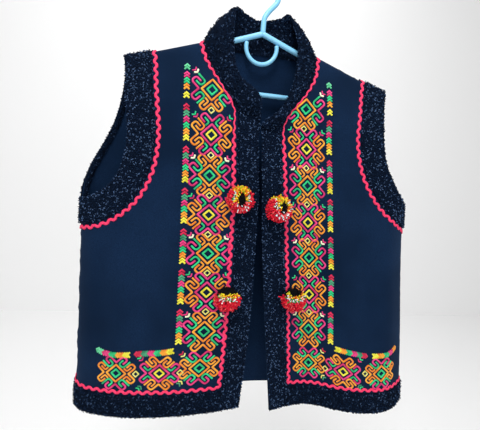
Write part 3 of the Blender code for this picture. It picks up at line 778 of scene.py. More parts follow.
def rickrack(name, panel, line, clipTo=None, nearNeck=None):
    # a wavy woven braid along a line of the layout
    path, runs = evenSteps(line, 1.1)
    if clipTo is not None:
        keep = insideOutline(path, clipTo)
        path, runs = path[keep], runs[keep]
    normals = unit(lineNormals(path))
    phase = 2 * math.pi * runs / rickrackLook["pitch"]
    wave = np.sin(phase) + 0.14 * np.sin(3 * phase + 0.3)
    fullness = np.ones(len(path))
    if nearNeck is not None:
        fullness = 1 - 0.6 * np.exp(-((path[:, 1] - nearNeck) / 48.0) ** 4)
    path = path + normals * (wave * rickrackLook["wave"] * fullness)[:, None]
    width = rickrackLook["width"] * (0.3 + 0.7 * fullness)
    points, faces, run, side = ribbonMesh(panel, path, width, rickrackLook["layer"], rickrackLook["profile"])
    piece = buildMesh(name + "_braid", points, faces, 60)
    addNumbers(piece, "run", np.sin(run * 5.2 + side * 3.0) * 0.5)
    finishPiece(piece, coral, [name])
    trims[panel].append(piece)
    return piece


bandSeeds = iter(range(100, 2000, 10))


def addBand(name, panel, region):
    # the hem lies in its own shade, the armholes and fronts catch more light
    brighter = 0.02 if "hem" in name else 0.2
    ground, curls, flat, triangles = pileBand(name, panel, region, next(bandSeeds), brighter=brighter)
    return ground


def addFacing(name, panel, line, near, far):
    # the pile turned to the inside along an armhole
    pileBand(name, panel, strip(line, near, far), next(bandSeeds), "facing", [], -1)


def bandRegion(corners):
    return resample(closedLine(np.array(corners)), bandStep)[:-1]


def frontTrims(panel, side):
    bottom = cut["length"]
    half = cut["panelHalf"]
    seam = bottom - cut["hemBand"]
    band = cut["frontBand"]
    corner = (cut["cornerLeft"] if panel == "frontLeft" else cut["cornerRight"]) + 1.0
    scye = resample(softLine(armholes[panel]), bandStep)
    neck = softLine(necklines[panel])
    frontSeam = frontSeams[panel]
    foot = frontSeam[-1][0]
    corners = [(0, corner), (max(band, neck[-1][0]), corner)] + frontSeam + [(foot, bottom), (0, bottom)]
    hemRegion = bandRegion([(foot, seam), (half, seam), (half, bottom), (foot, bottom)])
    addBand("front_band_" + side, panel, bandRegion(corners))
    addBand("hem_band_" + side, panel, hemRegion)
    addBand("armhole_band_front_" + side, panel, strip(scye, 0.0, cut["armholeBand"]))
    addFacing("armhole_facing_front_" + side, panel, scye, 0.0, 9.0)
    seamLine = np.concatenate([neck, frontSeam, [(half, seam)]])
    gap = rickrackLook["fromSeam"]
    frontLine = beside(resample(seamLine, 6), -gap)
    rickrack("rickrack_front_" + side, panel, frontLine, nearNeck=cut["cornerLeft"] - 10)
    armholeLine = beside(scye, cut["armholeBand"] + gap, 30)
    rickrack("rickrack_armhole_front_" + side, panel, armholeLine, outlines[panel])


def backTrims():
    bottom = cut["length"]
    half = cut["panelHalf"]
    seam = bottom - cut["hemBand"]
    left = resample(softLine(armholes["backLeft"]) * (-1, 1), bandStep)
    right = resample(softLine(armholes["backRight"]), bandStep)
    neck = softLine(necklines["back"])
    hemRegion = bandRegion([(half, seam), (-half, seam), (-half, bottom), (half, bottom)])
    addBand("hem_band_back", "back", hemRegion)
    addBand("armhole_band_back_left", "back", strip(left, 0.0, -cut["armholeBand"]))
    addBand("armhole_band_back_right", "back", strip(right, 0.0, cut["armholeBand"]))
    addFacing("armhole_facing_back_left", "back", left, 0.0, -9.0)
    addFacing("armhole_facing_back_right", "back", right, 0.0, 9.0)
    gap = rickrackLook["fromSeam"]
    rickrack("rickrack_back_hem", "back", [(-half, seam - gap), (half, seam - gap)])
    rickrack("rickrack_back_neck", "back", beside(resample(neck, 6), gap, 20), outlines["back"])
    reach = cut["armholeBand"] + gap
    rickrack("rickrack_armhole_back_left", "back", beside(left, -reach, 30), outlines["back"])
    rickrack("rickrack_armhole_back_right", "back", beside(right, reach, 30), outlines["back"])


panels = {
    "frontLeft": feltPanel("front_left", "frontLeft", 11),
    "frontRight": feltPanel("front_right", "frontRight", 12),
    "back": feltPanel("back", "back", 13),
}
print("felt panels hung")
frontTrims("frontLeft", "left")
frontTrims("frontRight", "right")
backTrims()
print("boucle bands and rick-rack sewn on")

# Standing collar: panel, place of its seam, place of its free edge (x, y, height above the shoulder point)
collarRows = [
    ("frontLeft", 0, 106, -4, -44, -94), ("frontLeft", 15, 106, -7, -45, -79),
    ("frontLeft", 29, 106, -18, -43, -67), ("frontLeft", 32, 94, -32, -38, -57),
    ("frontLeft", 41, 77, -42, -30, -42), ("frontLeft", 57, 54.5, -47, -21, -16),
    ("frontLeft", 74.5, 36, -49, -14, 12), ("frontLeft", 84, 18, -48, -8, 38),
    ("back", -89, 0, -45, 2, 56), ("back", -60, 6, -29, 11, 52), ("back", -30, 6, -12, 15, 48),
    ("back", 0, 6, 3, 16, 49), ("back", 27, 6, 16, 15, 52), ("back", 54, 6, 27, 12, 55),
    ("frontRight", 81, 0, 38, 2, 56), ("frontRight", 79, 22, 47, -8, 30),
    ("frontRight", 75, 42, 51, -15, 4), ("frontRight", 63, 65, 50, -21, -24),
    ("frontRight", 48, 85, 44, -27, -56), ("frontRight", 35, 105, 33, -33, -83),
    ("frontRight", 29, 124, 20, -38, -99), ("frontRight", 14, 124, 9, -40, -107),
    ("frontRight", 0, 124, 3, -40, -114),
]
# share of the way up, inner face, outer face, how far the middle bows out
collarBuild = [(0.0, -1.6, 1.2, 0.0), (0.2, -2.0, 2.0, 2.5), (0.6, -2.0, 2.2, 4.0), (1.0, -1.3, 1.4, 0.0)]
collarLook = {"rows": 18, "step": 4.2, "loopsEachFace": 3100, "loopsOnEdge": 130}


def collarSeam():
    points = []
    for panel in ("frontLeft", "back", "frontRight"):
        line = softLine(necklines[panel])
        if panel == "frontLeft":
            line = np.concatenate([line, [(0, cut["cornerLeft"])]])
        if panel == "frontRight":
            line = np.concatenate([line, [(0, cut["cornerRight"])]])
        line = resample(line, 4.0)
        if panel == "frontLeft":
            line = line[::-1]
        place = surface(panel, line, 0.0)[0]
        points.append(place if not points else place[1:])
    return np.concatenate(points)


def buildCollar():
    seam = collarSeam()
    runs = np.concatenate([[0], np.cumsum(np.linalg.norm(np.diff(seam, axis=0), axis=1))])
    edgeRows = []
    for panel, across, down, x, y, z in collarRows:
        here = hang(panel, np.array([float(across)]), np.array([float(down)]))[0]
        nearest = int(np.argmin(np.linalg.norm(seam - here, axis=1)))
        edgeRows.append((runs[nearest], x + cut["centreShift"], y, cut["neckHeight"] + z))
    at = np.linspace(0, runs[-1], int(runs[-1] / collarLook["step"]) + 1)
    start = np.stack([np.interp(at, runs, seam[:, k]) for k in range(3)], axis=-1)
    end = np.stack([curveValue(edgeRows, 0, k + 1, at) for k in range(3)], axis=-1)
    smooth = start.copy()
    for _ in range(2):
        smooth[1:-1] = (smooth[:-2] + 2 * smooth[1:-1] + smooth[2:]) / 4
    start = start * 0.4 + smooth * 0.6
    along = unit(np.gradient(start + end, axis=0))
    rise = end - start
    normal = unit(np.cross(rise, along))
    rows = collarLook["rows"]
    grid = []
    for k in range(rows + 1):
        share = k / rows
        bow = float(curveValue(collarBuild, 0, 3, share))
        low = float(curveValue(collarBuild, 0, 1, share))
        high = float(curveValue(collarBuild, 0, 2, share))
        if k == rows:
            low, high = low * 0.35, high * 0.35
        sag = 1.2 * np.sin(at / 23.0 + 1.0) * math.sin(math.pi * share)
        middle = start + rise * (share - 0.05 * (1 - share)) + normal * (bow + sag)[:, None]
        grid.append((middle + normal * low, middle + normal * high))
    count = len(at)
    outer = np.concatenate([g[1] for g in grid])
    inner = np.concatenate([g[0] for g in grid])
    faces = []
    total = len(outer)
    for k in range(rows):
        for j in range(count - 1):
            a = k * count + j
            faces.append([a, a + count, a + count + 1, a + 1])
            faces.append([a + total, a + 1 + total, a + count + 1 + total, a + count + total])
    for j in range(count - 1):
        faces.append([j, j + 1, j + 1 + total, j + total])
        top = rows * count + j
        faces.append([top + 1, top, top + total, top + 1 + total])
    for k in range(rows):
        a = k * count
        faces.append([a + count, a, a + total, a + count + total])
        b = a + count - 1
        faces.append([b, b + count, b + count + total, b + total])
    ground = buildMesh("collar_ground", np.concatenate([outer, inner]), faces)
    addNumbers(ground, "tone", np.full(total * 2, groundTone))
    finishPiece(ground, pile, ["collar"])
    rng = np.random.default_rng(77)
    parts = []
    for layer, facing in ((outer, 1.0), (inner, -1.0)):
        mesh = layer.reshape(rows + 1, count, 3)
        amount = collarLook["loopsEachFace"]
        u = rng.uniform(0, count - 1.001, amount)
        v = rng.uniform(0, rows - 0.001, amount)
        i, j = v.astype(int), u.astype(int)
        fu, fv = (u - j)[:, None], (v - i)[:, None]
        spot = (mesh[i, j] * (1 - fu) * (1 - fv) + mesh[i, j + 1] * fu * (1 - fv)
                + mesh[i + 1, j] * (1 - fu) * fv + mesh[i + 1, j + 1] * fu * fv)
        out = normal[j] * facing
        parts.append((spot + out * rng.uniform(-0.2, 0.8, amount)[:, None], along[j], out))
    for _ in range(2):
        j = rng.integers(0, count, collarLook["loopsOnEdge"])
        top = (grid[rows][0][j] + grid[rows][1][j]) / 2
        parts.append((top, along[j], unit(rise[j])))
    i = np.arange(rows + 1)
    for j in (0, count - 1):
        side = np.array([(grid[k][0][j] + grid[k][1][j]) / 2 for k in i])
        upward = np.repeat(unit(rise[j:j + 1]), len(side), axis=0)
        endways = np.repeat(along[j:j + 1], len(side), axis=0)
        parts.append((side, upward, endways))
    points = np.concatenate([p[0] for p in parts])
    tangents = np.concatenate([p[1] for p in parts])
    normals = np.concatenate([p[2] for p in parts])
    tangents = unit(tangents - normals * np.sum(tangents * normals, axis=1, keepdims=True))
    curlPoints, curlFaces, tone = curlMesh(points, tangents, normals, 78)
    curls = buildMesh("collar_loops", curlPoints, curlFaces)
    addNumbers(curls, "tone", tone)
    finishPiece(curls, pile, [])


buildCollar()
print("collar set")

# Embroidery

# each thread's darker and lighter colour: the thread is variegated between them, and the lighter one also
# gives a painted highlight along the middle of each stitched ribbon
threadColours = {
    "orange": (shade(226, 118, 18), shade(252, 178, 52)),
    "yellow": (shade(214, 206, 30), shade(246, 240, 76)),
    "green": (shade(14, 168, 98), shade(44, 222, 142)),
    "paleGreen": (shade(70, 184, 126), shade(118, 222, 166)),
    "mutedGreen": (shade(28, 120, 82), shade(84, 176, 130)),
    "pink": (shade(196, 24, 92), shade(242, 66, 140)),
    "crimson": (shade(188, 14, 58), shade(234, 40, 92)),
    "paleYellow": (shade(222, 218, 100), shade(246, 244, 160)),
    "cream": (shade(236, 236, 190), shade(250, 250, 220)),
}
stitchLook = {
    "width": 3.0,
    "layer": (-0.1, 0.95),
    "step": 1.1,
    "profile": (0.0, 0.82, 1.0, 0.82, 0.0),
    "turn": 0.62,
    "fromNeck": 3.0,
}

# A motif is drawn once, in one corner, as (out sideways, up). The last number of a point rounds its corner.
hornShape = [(10.6, 16.9, 0), (18.0, 24.3, 4.8), (11.2, 31.1, 4.8), (0, 19.9, 1.2), (-11.2, 31.1, 4.8),
             (-18.0, 24.3, 4.8), (-10.6, 16.9, 0)]
curlShape = [(11.2, 24.3, 0), (4.4, 17.5, 3.2), (9.4, 12.5, 0)]
bracketShape = [(16.6, 10.9, 0), (23.6, 17.9, 4.8), (30.4, 11.1, 4.8), (19.3, 0, 1.6), (30.4, -11.1, 4.8),
                (23.6, -17.9, 4.8), (16.6, -10.9, 0)]
hookShape = [(20.9, 22.0, 0), (9.8, 10.9, 4.8), (16.6, 4.1, 4.8), (23.6, 11.1, 0)]
markShapes = {"near": [(3.4, -1.8, 0), (2.4, 2.9, 1.3), (-2.4, 3.3, 0)],
              "far": [(0.3, -4.7, 0), (-0.3, -0.2, 1.1), (-5.0, 0.5, 0)]}


def diamond(half):
    return [(0, half, 0.6), (half, 0, 0.6), (0, -half, 0.6), (-half, 0, 0.6)]


def roundedPath(points, closed=False):
    # a line of straight stitches with soft corners
    count = len(points)
    spots = [np.array(p[:2], float) for p in points]
    line = []
    for i, (x, y, radius) in enumerate(points):
        here = spots[i]
        inner = closed or 0 < i < count - 1
        if not inner or radius <= 0:
            line.append(here)
            continue
        toBefore = spots[i - 1] - here
        toNext = spots[(i + 1) % count] - here
        reach = min(radius, np.linalg.norm(toBefore) * 0.5, np.linalg.norm(toNext) * 0.5)
        start = here + unit(toBefore) * reach
        end = here + unit(toNext) * reach
        middle = here + (start + end - 2 * here) * 0.22
        pull = 2 * middle - (start + end) / 2
        for share in np.linspace(0, 1, 7):
            rest = 1 - share
            line.append(rest ** 2 * start + 2 * share * rest * pull + share ** 2 * end)
    if closed:
        line.append(line[0])
    return np.array(line)


class Needlework:
    # collects the stitched ribbons of one panel
    def __init__(self, panel):
        self.panel = panel
        self.parts = []
        self.run = []
        self.colours = []
        self.neck = softLine(necklines[panel])
        self.rng = np.random.default_rng(5)

    def clear(self, path):
        awayFromNeck = distanceTo(path, self.neck) > stitchLook["fromNeck"]
        return insideOutline(path, outlines[self.panel]) & awayFromNeck

    def stitch(self, path, colour, width=None, lift=0.0):
        fine = resample(path, stitchLook["step"])
        kept = self.clear(fine)
        breaks = np.flatnonzero(np.diff(kept.astype(int))) + 1
        for piece in np.split(np.arange(len(fine)), breaks):
            if kept[piece[0]] and len(piece) > 3:
                self.lay(fine[piece], colour, width or stitchLook["width"], lift)

    def lay(self, path, colour, width, lift):
        low, high = stitchLook["layer"]
        high = high * (0.75 + 0.25 * width / stitchLook["width"]) + lift
        points, faces, run, side = ribbonMesh(self.panel, path, width, (low, high), stitchLook["profile"])
        dark, light = (np.array(c) for c in threadColours[colour])
        phase = self.rng.uniform(0, 6.28)
        share = 0.42 + 0.32 * np.sin(run / 8.5 + phase) + 0.16 * np.sin(run / 2.1 + phase * 2)
        # painted highlight along the middle of each ribbon and painted shade at its edges, on top of the
        # thread's own variegation
        share = np.clip(share + 0.30 * (1 - np.abs(side) / (width / 2)) - 0.12, 0, 1)[:, None]
        self.parts.append((points, faces))
        self.run.append((run + 0.5 * side) * 2 * math.pi / stitchLook["turn"])
        self.colours.append(dark * (1 - share) + light * share)

    def motif(self, centre, kind, quarterTurn=False, first=False, lift=0.0, squash=(1.0, 1.0), tilt=0.0):
        frameColour, heart, horn, curl, bracket, hook = kind

        def put(shape, colour, width=None, flipU=1, flipV=1, closed=False, extra=0.0):
            path = roundedPath(shape, closed) * (flipU, flipV)
            if quarterTurn:
                path = path[:, ::-1] * (-1, 1)
            path = path * (squash[0], -squash[1])
            path[:, 1] += path[:, 0] * tilt
            self.stitch(path + centre, colour, width, lift + extra)

        put(diamond(15.3), frameColour, closed=True)
        put(diamond(7.2), heart, 2.9, closed=True)
        for v in (1, -1):
            if not (first and v == 1):
                put(hornShape, horn, flipV=v)
            for u in (1, -1):
                if not (first and v == 1):
                    put(curlShape, curl, 2.7, u, v, extra=0.05)
                if not (first and v == 1 and u == -1):
                    put(hookShape, hook, 2.8, u, v, extra=0.1)
        put(bracketShape, bracket)
        put(bracketShape[3:] if first else bracketShape, bracket, flipU=-1)

    def mark(self, centre, near, far, flip=1, flipDown=1):
        for key, colour, width in (("near", near, 2.8 if near == "cream" else 2.2), ("far", far, 2.2)):
            path = roundedPath(markShapes[key]) * (flip, flipDown)
            self.stitch(path + centre, colour, width)

    def chevron(self, centre, direction, colour):
        d = np.array(direction, float)
        s = np.array([-d[1], d[0]])
        c = np.array(centre, float)
        path = np.array([c + s * 4.0 - d * 1.9, c + d * 1.6, c - s * 4.0 - d * 1.9])
        self.stitch(path, colour, 2.9)

    def chain(self, points, colours, perColour):
        line = resample(np.array(points, float), 0.5)
        count = len(colours) * perColour
        spots = np.linspace(0, len(line) - 3, count).astype(int)
        for i, k in enumerate(spots):
            self.chevron(line[k], unit(line[k + 2] - line[k]), colours[i // perColour])

    def finish(self, name):
        points, faces = joined(self.parts)
        piece = buildMesh(name, points, faces, 75)
        addNumbers(piece, "run", np.concatenate(self.run))
        addColours(piece, "thread", np.concatenate(self.colours))
        finishPiece(piece, threads, [])
        trims[self.panel].append(piece)
        return piece


# frame, heart, horns, curls, brackets, hooks
orangeMotif = ("orange", "green", "orange", "orange", "pink", "green")
pinkMotif = ("pink", "yellow", "pink", "green", "orange", "orange")
stripCentre = {"frontLeft": (73.0, 64.0), "frontRight": (72.0, 68.0)}
motifPitch = 59.0
firstMotif = 84.0
lastMotif = 7
# the motifs were placed by eye: how far each of them strays outward and down the strip
strays = {
    "frontLeft": [(1.2, -4.5), (-0.5, 0.8), (1.1, 0.8), (1.1, 0.5),
                  (0, 0), (0, 0), (0.9, 1.2), (4.3, -1.2)],
    "frontRight": [(-4.5, 6.5), (0, 7.0), (2.3, 4.5), (4.4, 3.6),
                   (6.9, 1.3), (7.3, 2.8), (6.1, 1.4), (6.3, 0)],
}
# two more motifs along the hem: outward, down, tilt
hemMotifs = {
    "frontLeft": [(60.5, 4.0, 0.0), (124.0, 5.5, 0.0)],
    "frontRight": [(65.0, 6.0, 0.13), (131.0, 6.5, -0.05)],
}
chainLines = {
    "frontLeft": [(44, 112.0), (84, 110.6), (143, 107.4), (190, 105.7), (245, 104.4), (300, 102.9),
                  (450, 100.4), (470, 100.2)],
    "frontRight": [(44, 103.5), (105, 107.2), (157, 109.1), (190, 110.7), (250, 113.2), (300, 114.9),
                   (350, 115.6), (400, 114.0), (457, 112.7), (470, 112.5)],
}
chainSlip = {"frontLeft": 0.45, "frontRight": 1.05}
topStitches = [(45.5, "paleGreen"), (57.5, "pink"), (66.3, "green"), (75.1, "orange"), (87.5, "yellow")]
hemChains = {
    "frontLeft": [[(108, 467), (130, 470.5), (161, 473)], [(170.5, 474), (193, 475), (209, 473), (219, 469)]],
    "frontRight": [[(122, 467), (147, 471), (173, 475)], [(185, 474.5), (208, 473), (233, 465)]],
}


def embroider(panel, name):
    work = Needlework(panel)
    top, foot = stripCentre[panel]
    last = lastMotif
    bead = roundedPath(diamond(4.4), True)
    for k in range(last + 1):
        stray = strays[panel][k]
        centre = np.array([top + (foot - top) * k / last + stray[0], firstMotif + motifPitch * k + stray[1]])
        kind = orangeMotif if k % 2 == 0 or k == last else pinkMotif
        work.motif(centre, kind, quarterTurn=k == last, first=k == 0, lift=0.08 * (k % 2),
                   squash=(0.93, 0.88) if k == last else (1.0, 1.0))
        if k < last - 1:
            work.stitch(bead + centre + (-0.6, motifPitch / 2), "paleYellow", 1.9, 0.2)
        near, far = ("cream", "pink") if k % 2 == 0 else ("pink", "green")
        if k < last:
            for flip in (1, -1) if k > 0 else (1,):
                work.mark(centre + (25.0 * flip, -26.5), near, far, -flip)
        if k == last:
            work.mark(centre + (25.0, -23.0), "paleYellow", "crimson", -1)
            work.mark(centre + (26.0, 22.0), "paleYellow", "mutedGreen", -1, -1)
    for k, kind in ((1, pinkMotif), (2, orangeMotif)):
        outward, lower, tilt = hemMotifs[panel][k - 1]
        centre = np.array([foot + outward, firstMotif + motifPitch * last + lower])
        work.motif(centre, kind, quarterTurn=True, lift=0.08 * (k % 2), squash=(0.94, 0.86), tilt=tilt)
        work.stitch(bead + centre - (motifPitch / 2, 0), "paleYellow", 1.9, 0.2)
        if k == 1:
            work.mark(centre + (28.0, -22.0), "pink", "green", -1)
            work.mark(centre + (28.0, 23.0), "mutedGreen", "green", -1, -1)
    order = ["crimson", "mutedGreen", "pink", "green", "orange", "yellow"]

    def vertical(start, end, colours):
        points = [(curveValue(chainLines[panel], 0, 1, down), down) for down in np.linspace(end, start, 9)]
        work.chain(points, colours[::-1], 2)

    for group in range(1, 7):
        start = 44.8 + motifPitch * group + 0.9 * group + chainSlip[panel] * (group - 1)
        vertical(start, start + 48.5, order)
    # single stitches above the first group
    for start, colour in topStitches:
        vertical(start, start + 5.6, [colour])
    ends = {"frontLeft": ["yellow", "orange", "green", "pink", "paleGreen"],
            "frontRight": ["yellow", "orange", "green", "pink", "orange"]}
    work.chain(hemChains[panel][0], order[::-1], 3)
    work.chain(hemChains[panel][1], ends[panel], 3)
    return work.finish(name)


embroider("frontLeft", "embroidery_left")
embroider("frontRight", "embroidery_right")
print("embroidery stitched")

# Pom-poms of cut yarn, tied on the front bands
pomPoms = {
    "pompom_upper_left": {"panel": "frontLeft", "at": (31, 233.5), "turn": 90, "lean": 0.05, "dark": 26,
                          "squeeze": (1.2, 0.45), "handed": 1, "seed": 31},
    "pompom_upper_right": {"panel": "frontRight", "at": (20.5, 244.5), "turn": 42, "lean": 0.42, "dark": 28,
                           "squeeze": (1.2, 0.72), "handed": 1, "seed": 32},
    "pompom_lower_left": {"panel": "frontLeft", "at": (41, 382), "turn": 86, "lean": 3.2, "dark": 46,
                          "squeeze": (0.8, 1.0), "handed": 1, "seed": 33},
    "pompom_lower_right": {"panel": "frontRight", "at": (40.5, 383), "turn": 92, "lean": 2.4, "dark": 42,
                           "squeeze": (1.0, 0.9), "handed": 0, "seed": 34},
}
yarnColours = {
    "black": shade(9, 9, 12),
    "olive": shade(196, 196, 40),
    "yellow": shade(250, 216, 46),
    "orange": shade(236, 110, 34),
    "white": shade(226, 236, 240),
    "green": shade(24, 150, 62),
    "red": shade(222, 30, 54),
    "rose": shade(238, 92, 92),
    "deep": shade(150, 8, 40),
}


def yarnShade(polar, up, rng):
    # bands of yarn colour round the dark centre; up is 1 above it and -1 below
    polar += rng.normal(0, 3.0)
    lot = rng.random()
    if polar < 0:
        return "black"
    if up > 0.75:
        return "olive" if lot < 0.3 else ("yellow" if lot < 0.58 else ("orange" if lot < 0.84 else "black"))
    if polar < 12:
        if up > -0.45:
            return "orange" if lot < 0.4 else ("yellow" if lot < 0.8 else "olive")
        return "rose" if lot < 0.45 else ("white" if lot < 0.65 else "red")
    if polar < 29:
        if up > -0.15:
            return "green" if lot < 0.36 else ("white" if lot < 0.84 else "red")
        return "white" if lot < 0.2 else "red"
    return "red" if lot < 0.74 else ("rose" if lot < 0.88 else "deep")


pomPomBuild = {"radius": 18.6, "flatness": 0.86, "strands": 1900, "fromFelt": 4.6}
# a turn that never lines the strands up in rows
strandTurn = 2.399963


def pomPom(name):
    look = pomPoms[name]
    radius = pomPomBuild["radius"]
    flatness = pomPomBuild["flatness"]
    strands = pomPomBuild["strands"]
    rng = np.random.default_rng(look["seed"])
    spot = np.array([look["at"]], float)
    base, _, normal = surface(look["panel"], spot, pomPomBuild["fromFelt"] + radius * flatness)
    centre, out = base[0], normal[0]
    up = unit(np.array([0, 0, 1.0]) - out * out[2])
    side = np.cross(up, out) * -1
    if side[0] < 0:
        side = -side
    k = np.arange(strands) + 0.5
    height = 1 - 2 * k / strands
    angle = k * strandTurn + rng.uniform(-0.15, 0.15, strands)
    flatRadius = np.sqrt(1 - height ** 2)
    directions = np.stack([flatRadius * np.cos(angle), flatRadius * np.sin(angle), height], axis=-1)
    directions = unit(directions + rng.normal(0, 0.05, directions.shape))
    turnAxis = math.radians(look["turn"])
    axis = unit(np.array([look["lean"] * math.cos(turnAxis), look["lean"] * math.sin(turnAxis), 1.0]))
    first = unit(np.array([1.0, 0, 0]) - axis * axis[0])
    second = np.cross(axis, first)
    along, across = directions @ first, directions @ second
    flatter = np.hypot(along * look["squeeze"][0], across * look["squeeze"][1])
    polar = np.degrees(np.arctan2(flatter, directions @ axis)) - look["dark"]
    turns = np.degrees(np.arctan2(across, along))
    ups = np.sin(np.radians(turns)) if look["lean"] < 1 else 0.1 - 0.6 * along * look["handed"]
    names = [yarnShade(p, up, rng) for p, up in zip(polar, ups)]
    if look["lean"] >= 1:
        behind = (directions[:, 1] > 0.2) & (directions[:, 2] < 0.62 - 0.4 * directions[:, 1])
        names = ["black" if hidden else n for n, hidden in zip(names, behind)]
    dark = np.array([n == "black" for n in names])
    reach = radius * np.where(dark, rng.uniform(0.72, 0.86, strands), rng.uniform(0.90, 1.06, strands))
    rings = ((0.45, 0.54), (0.8, 0.8), (1.0, 0.92))
    sides = 4
    bend = rng.normal(0, 0.07, (strands, 3))
    helper = unit(np.cross(directions, directions[:, [1, 2, 0]] + 0.3))
    other = np.cross(directions, helper)
    points = []
    for share, thick in rings:
        middle = (directions + bend * share ** 2) * (reach * share)[:, None]
        for i in range(sides):
            a = 2 * math.pi * i / sides
            points.append(middle + (helper * math.cos(a) + other * math.sin(a)) * thick)
    local = np.stack(points, axis=1)
    local[..., 2] *= flatness
    world = centre + local[..., :1] * side + local[..., 1:2] * up + local[..., 2:] * out
    template = []
    for r in range(len(rings) - 1):
        for i in range(sides):
            j = (i + 1) % sides
            template.append([r * sides + i, r * sides + j, (r + 1) * sides + j, (r + 1) * sides + i])
    each = len(rings) * sides
    faces = (np.array(template)[None] + (np.arange(strands) * each)[:, None, None]).reshape(-1, 4).tolist()
    top = np.arange((len(rings) - 1) * sides, each)
    faces += (top[None] + (np.arange(strands) * each)[:, None]).tolist()
    faces += (np.arange(sides)[::-1][None] + (np.arange(strands) * each)[:, None]).tolist()
    piece = buildMesh(name + "_yarn", world.reshape(-1, 3), faces, 60)
    tint = np.array([yarnColours[n] for n in names]) * rng.uniform(0.82, 1.12, (strands, 1))
    depth = np.array([0.2, 0.62, 1.06])
    shaded = tint[:, None, None] * depth[None, :, None, None] * np.ones((1, 1, sides, 1))
    addColours(piece, "yarn", shaded.reshape(-1, 3))
    finishPiece(piece, yarn, [name])
    trims[look["panel"]].append(piece)
    return piece


for pomPomName in pomPoms:
    pomPom(pomPomName)
print("pom-poms tied")

# Tube hanger
hangerSizes = {
    "armRadius": 4.0,
    "ringTube": 3.25,
    "barRadius": 3.65,
    "junction": -72.0,
    "armSlope": 0.365,
    "armBend": 86.0,
    "armReach": 176.0,
    "bar": -161.0,
    "hookBend": 20.0,
    "ring": 24.0,
    "ringBelow": 20.0,
}


def arcPoints(centre, radius, start, end, count):
    angles = np.radians(np.linspace(start, end, count + 1))
    return np.stack([centre[0] + radius * np.cos(angles), centre[1] + radius * np.sin(angles)], axis=-1)


def tube(name, line, radius):
    sides = 20
    tangents = unit(np.gradient(line, axis=0))
    sideways = np.stack([-tangents[:, 1], tangents[:, 0]], axis=-1)
    rings = []
    # point of the line, share of the radius, how far past the end
    shares = [(0, 0.0, -1), (0, 0.75, -0.6)]
    shares += [(i, 1.0, 0) for i in range(len(line))]
    shares += [(-1, 0.75, 0.6), (-1, 0.0, 1)]
    for i, share, beyond in shares:
        middle = line[i] + tangents[i] * beyond * radius * 0.6
        ring = []
        for k in range(sides):
            a = 2 * math.pi * k / sides
            x, z = middle + sideways[i] * math.cos(a) * radius * max(share, 0.02)
            ring.append((x, math.sin(a) * radius * max(share, 0.02), z))
        rings.append(ring)
    faces = []
    for r in range(len(rings) - 1):
        for k in range(sides):
            j = (k + 1) % sides
            faces.append([r * sides + k, (r + 1) * sides + k, (r + 1) * sides + j, r * sides + j])
    faces.append(list(range(sides)))
    faces.append([(len(rings) - 1) * sides + k for k in range(sides)][::-1])
    piece = buildMesh(name + "_tube", np.array(rings).reshape(-1, 3), faces)
    return finishPiece(piece, plastic, [name])


def buildHanger():
    h = hangerSizes
    junction = h["junction"]
    eye = (0, h["armRadius"] - h["hookBend"])
    stem = roundedPath([(0, junction + 2, 0), (0, -49, 6), (6.5, -38.5, 5), (14.1, -30.1, 0)])
    hook = np.concatenate([stem, arcPoints(eye, h["hookBend"], -45, 200, 30)[1:]])
    tube("hanger_hook", evenSteps(hook, 2.5)[0], h["armRadius"])
    for side, sign in (("left", -1), ("right", 1)):
        bend = junction - h["armSlope"] * h["armBend"]
        end = bend - cut["shoulderSlope"] * (h["armReach"] - h["armBend"])
        drop = end - h["bar"]
        reach = h["armReach"]
        arm = [(0.5, junction, 0), (h["armBend"], bend, 12), (reach, end, 5),
               (reach + 9.5, end - 0.3 * drop, 6), (reach + 9.5, end - 0.7 * drop, 6),
               (reach + 2, h["bar"], 5), (reach - 4, h["bar"], 0)]
        path = evenSteps(roundedPath(arm), 2.5)[0] * (sign, 1)
        tube("hanger_arm_" + side, path, h["armRadius"])
    bar = np.array([(-reach + 2, h["bar"]), (0, h["bar"]), (reach - 2, h["bar"])])
    tube("hanger_bar", resample(bar, 12), h["barRadius"])
    tube("hanger_ring", arcPoints((0, junction - h["ringBelow"]), h["ring"], 12, -192, 40), h["ringTube"])


buildHanger()
print("hanger moulded")


# Room, light and camera

roomSizes = {"half": 8, "floor": -1.3, "wall": 0.4, "light": 0.55}


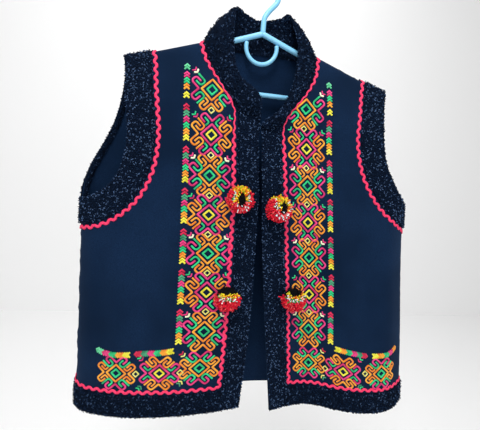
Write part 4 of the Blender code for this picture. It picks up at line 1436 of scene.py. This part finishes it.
def buildRoom():
    room = bpy.data.meshes.new("floor")
    half = roomSizes["half"]
    corners = [(-half, -half), (half, -half), (half, half), (-half, half)]
    room.from_pydata([(x, y, roomSizes["floor"]) for x, y in corners], [], [(0, 1, 2, 3)])
    floor = bpy.data.objects.new("floor", room)
    bpy.context.scene.collection.objects.link(floor)
    floor.data.materials.append(newMaterial("pale floor", 0.9, (0.92, 0.92, 0.92))[0])
    wall = floor.copy()
    wall.name = "backdrop"
    wall.rotation_euler = (math.pi / 2, 0, 0)
    wall.location = (0, roomSizes["wall"], 0)
    bpy.context.scene.collection.objects.link(wall)
    world = bpy.data.worlds.new("soft white room")
    bpy.context.scene.world = world
    world.use_nodes = True
    background = world.node_tree.nodes["Background"]
    background.inputs["Color"].default_value = (1.0, 1.0, 1.0, 1)
    background.inputs["Strength"].default_value = roomSizes["light"]


def setPicture():
    # colours come out as bright as they are on the cloth
    bpy.context.scene.view_settings.view_transform = "Standard"


# name, place, what it points at, size, power
lamps = [
    ("key", (-0.35, -1.0, 1.1), (0, 0, -0.35), 0.7, 24),
    ("fill", (0.2, -1.9, 0.0), (0, 0, -0.4), 1.6, 14),
    ("backdrop light", (0, 0.7, 1.4), (0, 1.7, -0.4), 2.0, 14),
]


def addLamp(name, place, aim, size, power):
    data = bpy.data.lights.new(name, "AREA")
    data.size = size
    data.energy = power
    lamp = bpy.data.objects.new(name, data)
    lamp.location = place
    lamp.rotation_euler = (Vector(aim) - Vector(place)).to_track_quat("-Z", "Y").to_euler()
    bpy.context.scene.collection.objects.link(lamp)


view = {
    "yaw": 9.39,
    "pitch": -7.3,
    "roll": 4.8,
    "place": (-0.0966, -0.5139, -0.286),
    "sensor": 36,
    "lens": 24.06,
}


def addCamera():
    yaw, pitch, roll = (math.radians(view[key]) for key in ("yaw", "pitch", "roll"))
    look = Vector((math.sin(yaw) * math.cos(pitch), math.cos(yaw) * math.cos(pitch), math.sin(pitch)))
    right = Vector((math.cos(yaw), -math.sin(yaw), 0))
    up = right.cross(look)
    right, up = right * math.cos(roll) + up * math.sin(roll), up * math.cos(roll) - right * math.sin(roll)
    camera = bpy.data.objects.new("camera", bpy.data.cameras.new("camera"))
    bpy.context.scene.collection.objects.link(camera)
    matrix = Matrix((right, up, -look)).transposed().to_4x4()
    matrix.translation = view["place"]
    camera.matrix_world = matrix
    camera.data.sensor_width = view["sensor"]
    camera.data.lens = view["lens"]
    camera.data.clip_start = 0.01
    bpy.context.scene.camera = camera


buildRoom()
setPicture()
for lamp in lamps:
    addLamp(*lamp)
addCamera()

print("room and camera ready")
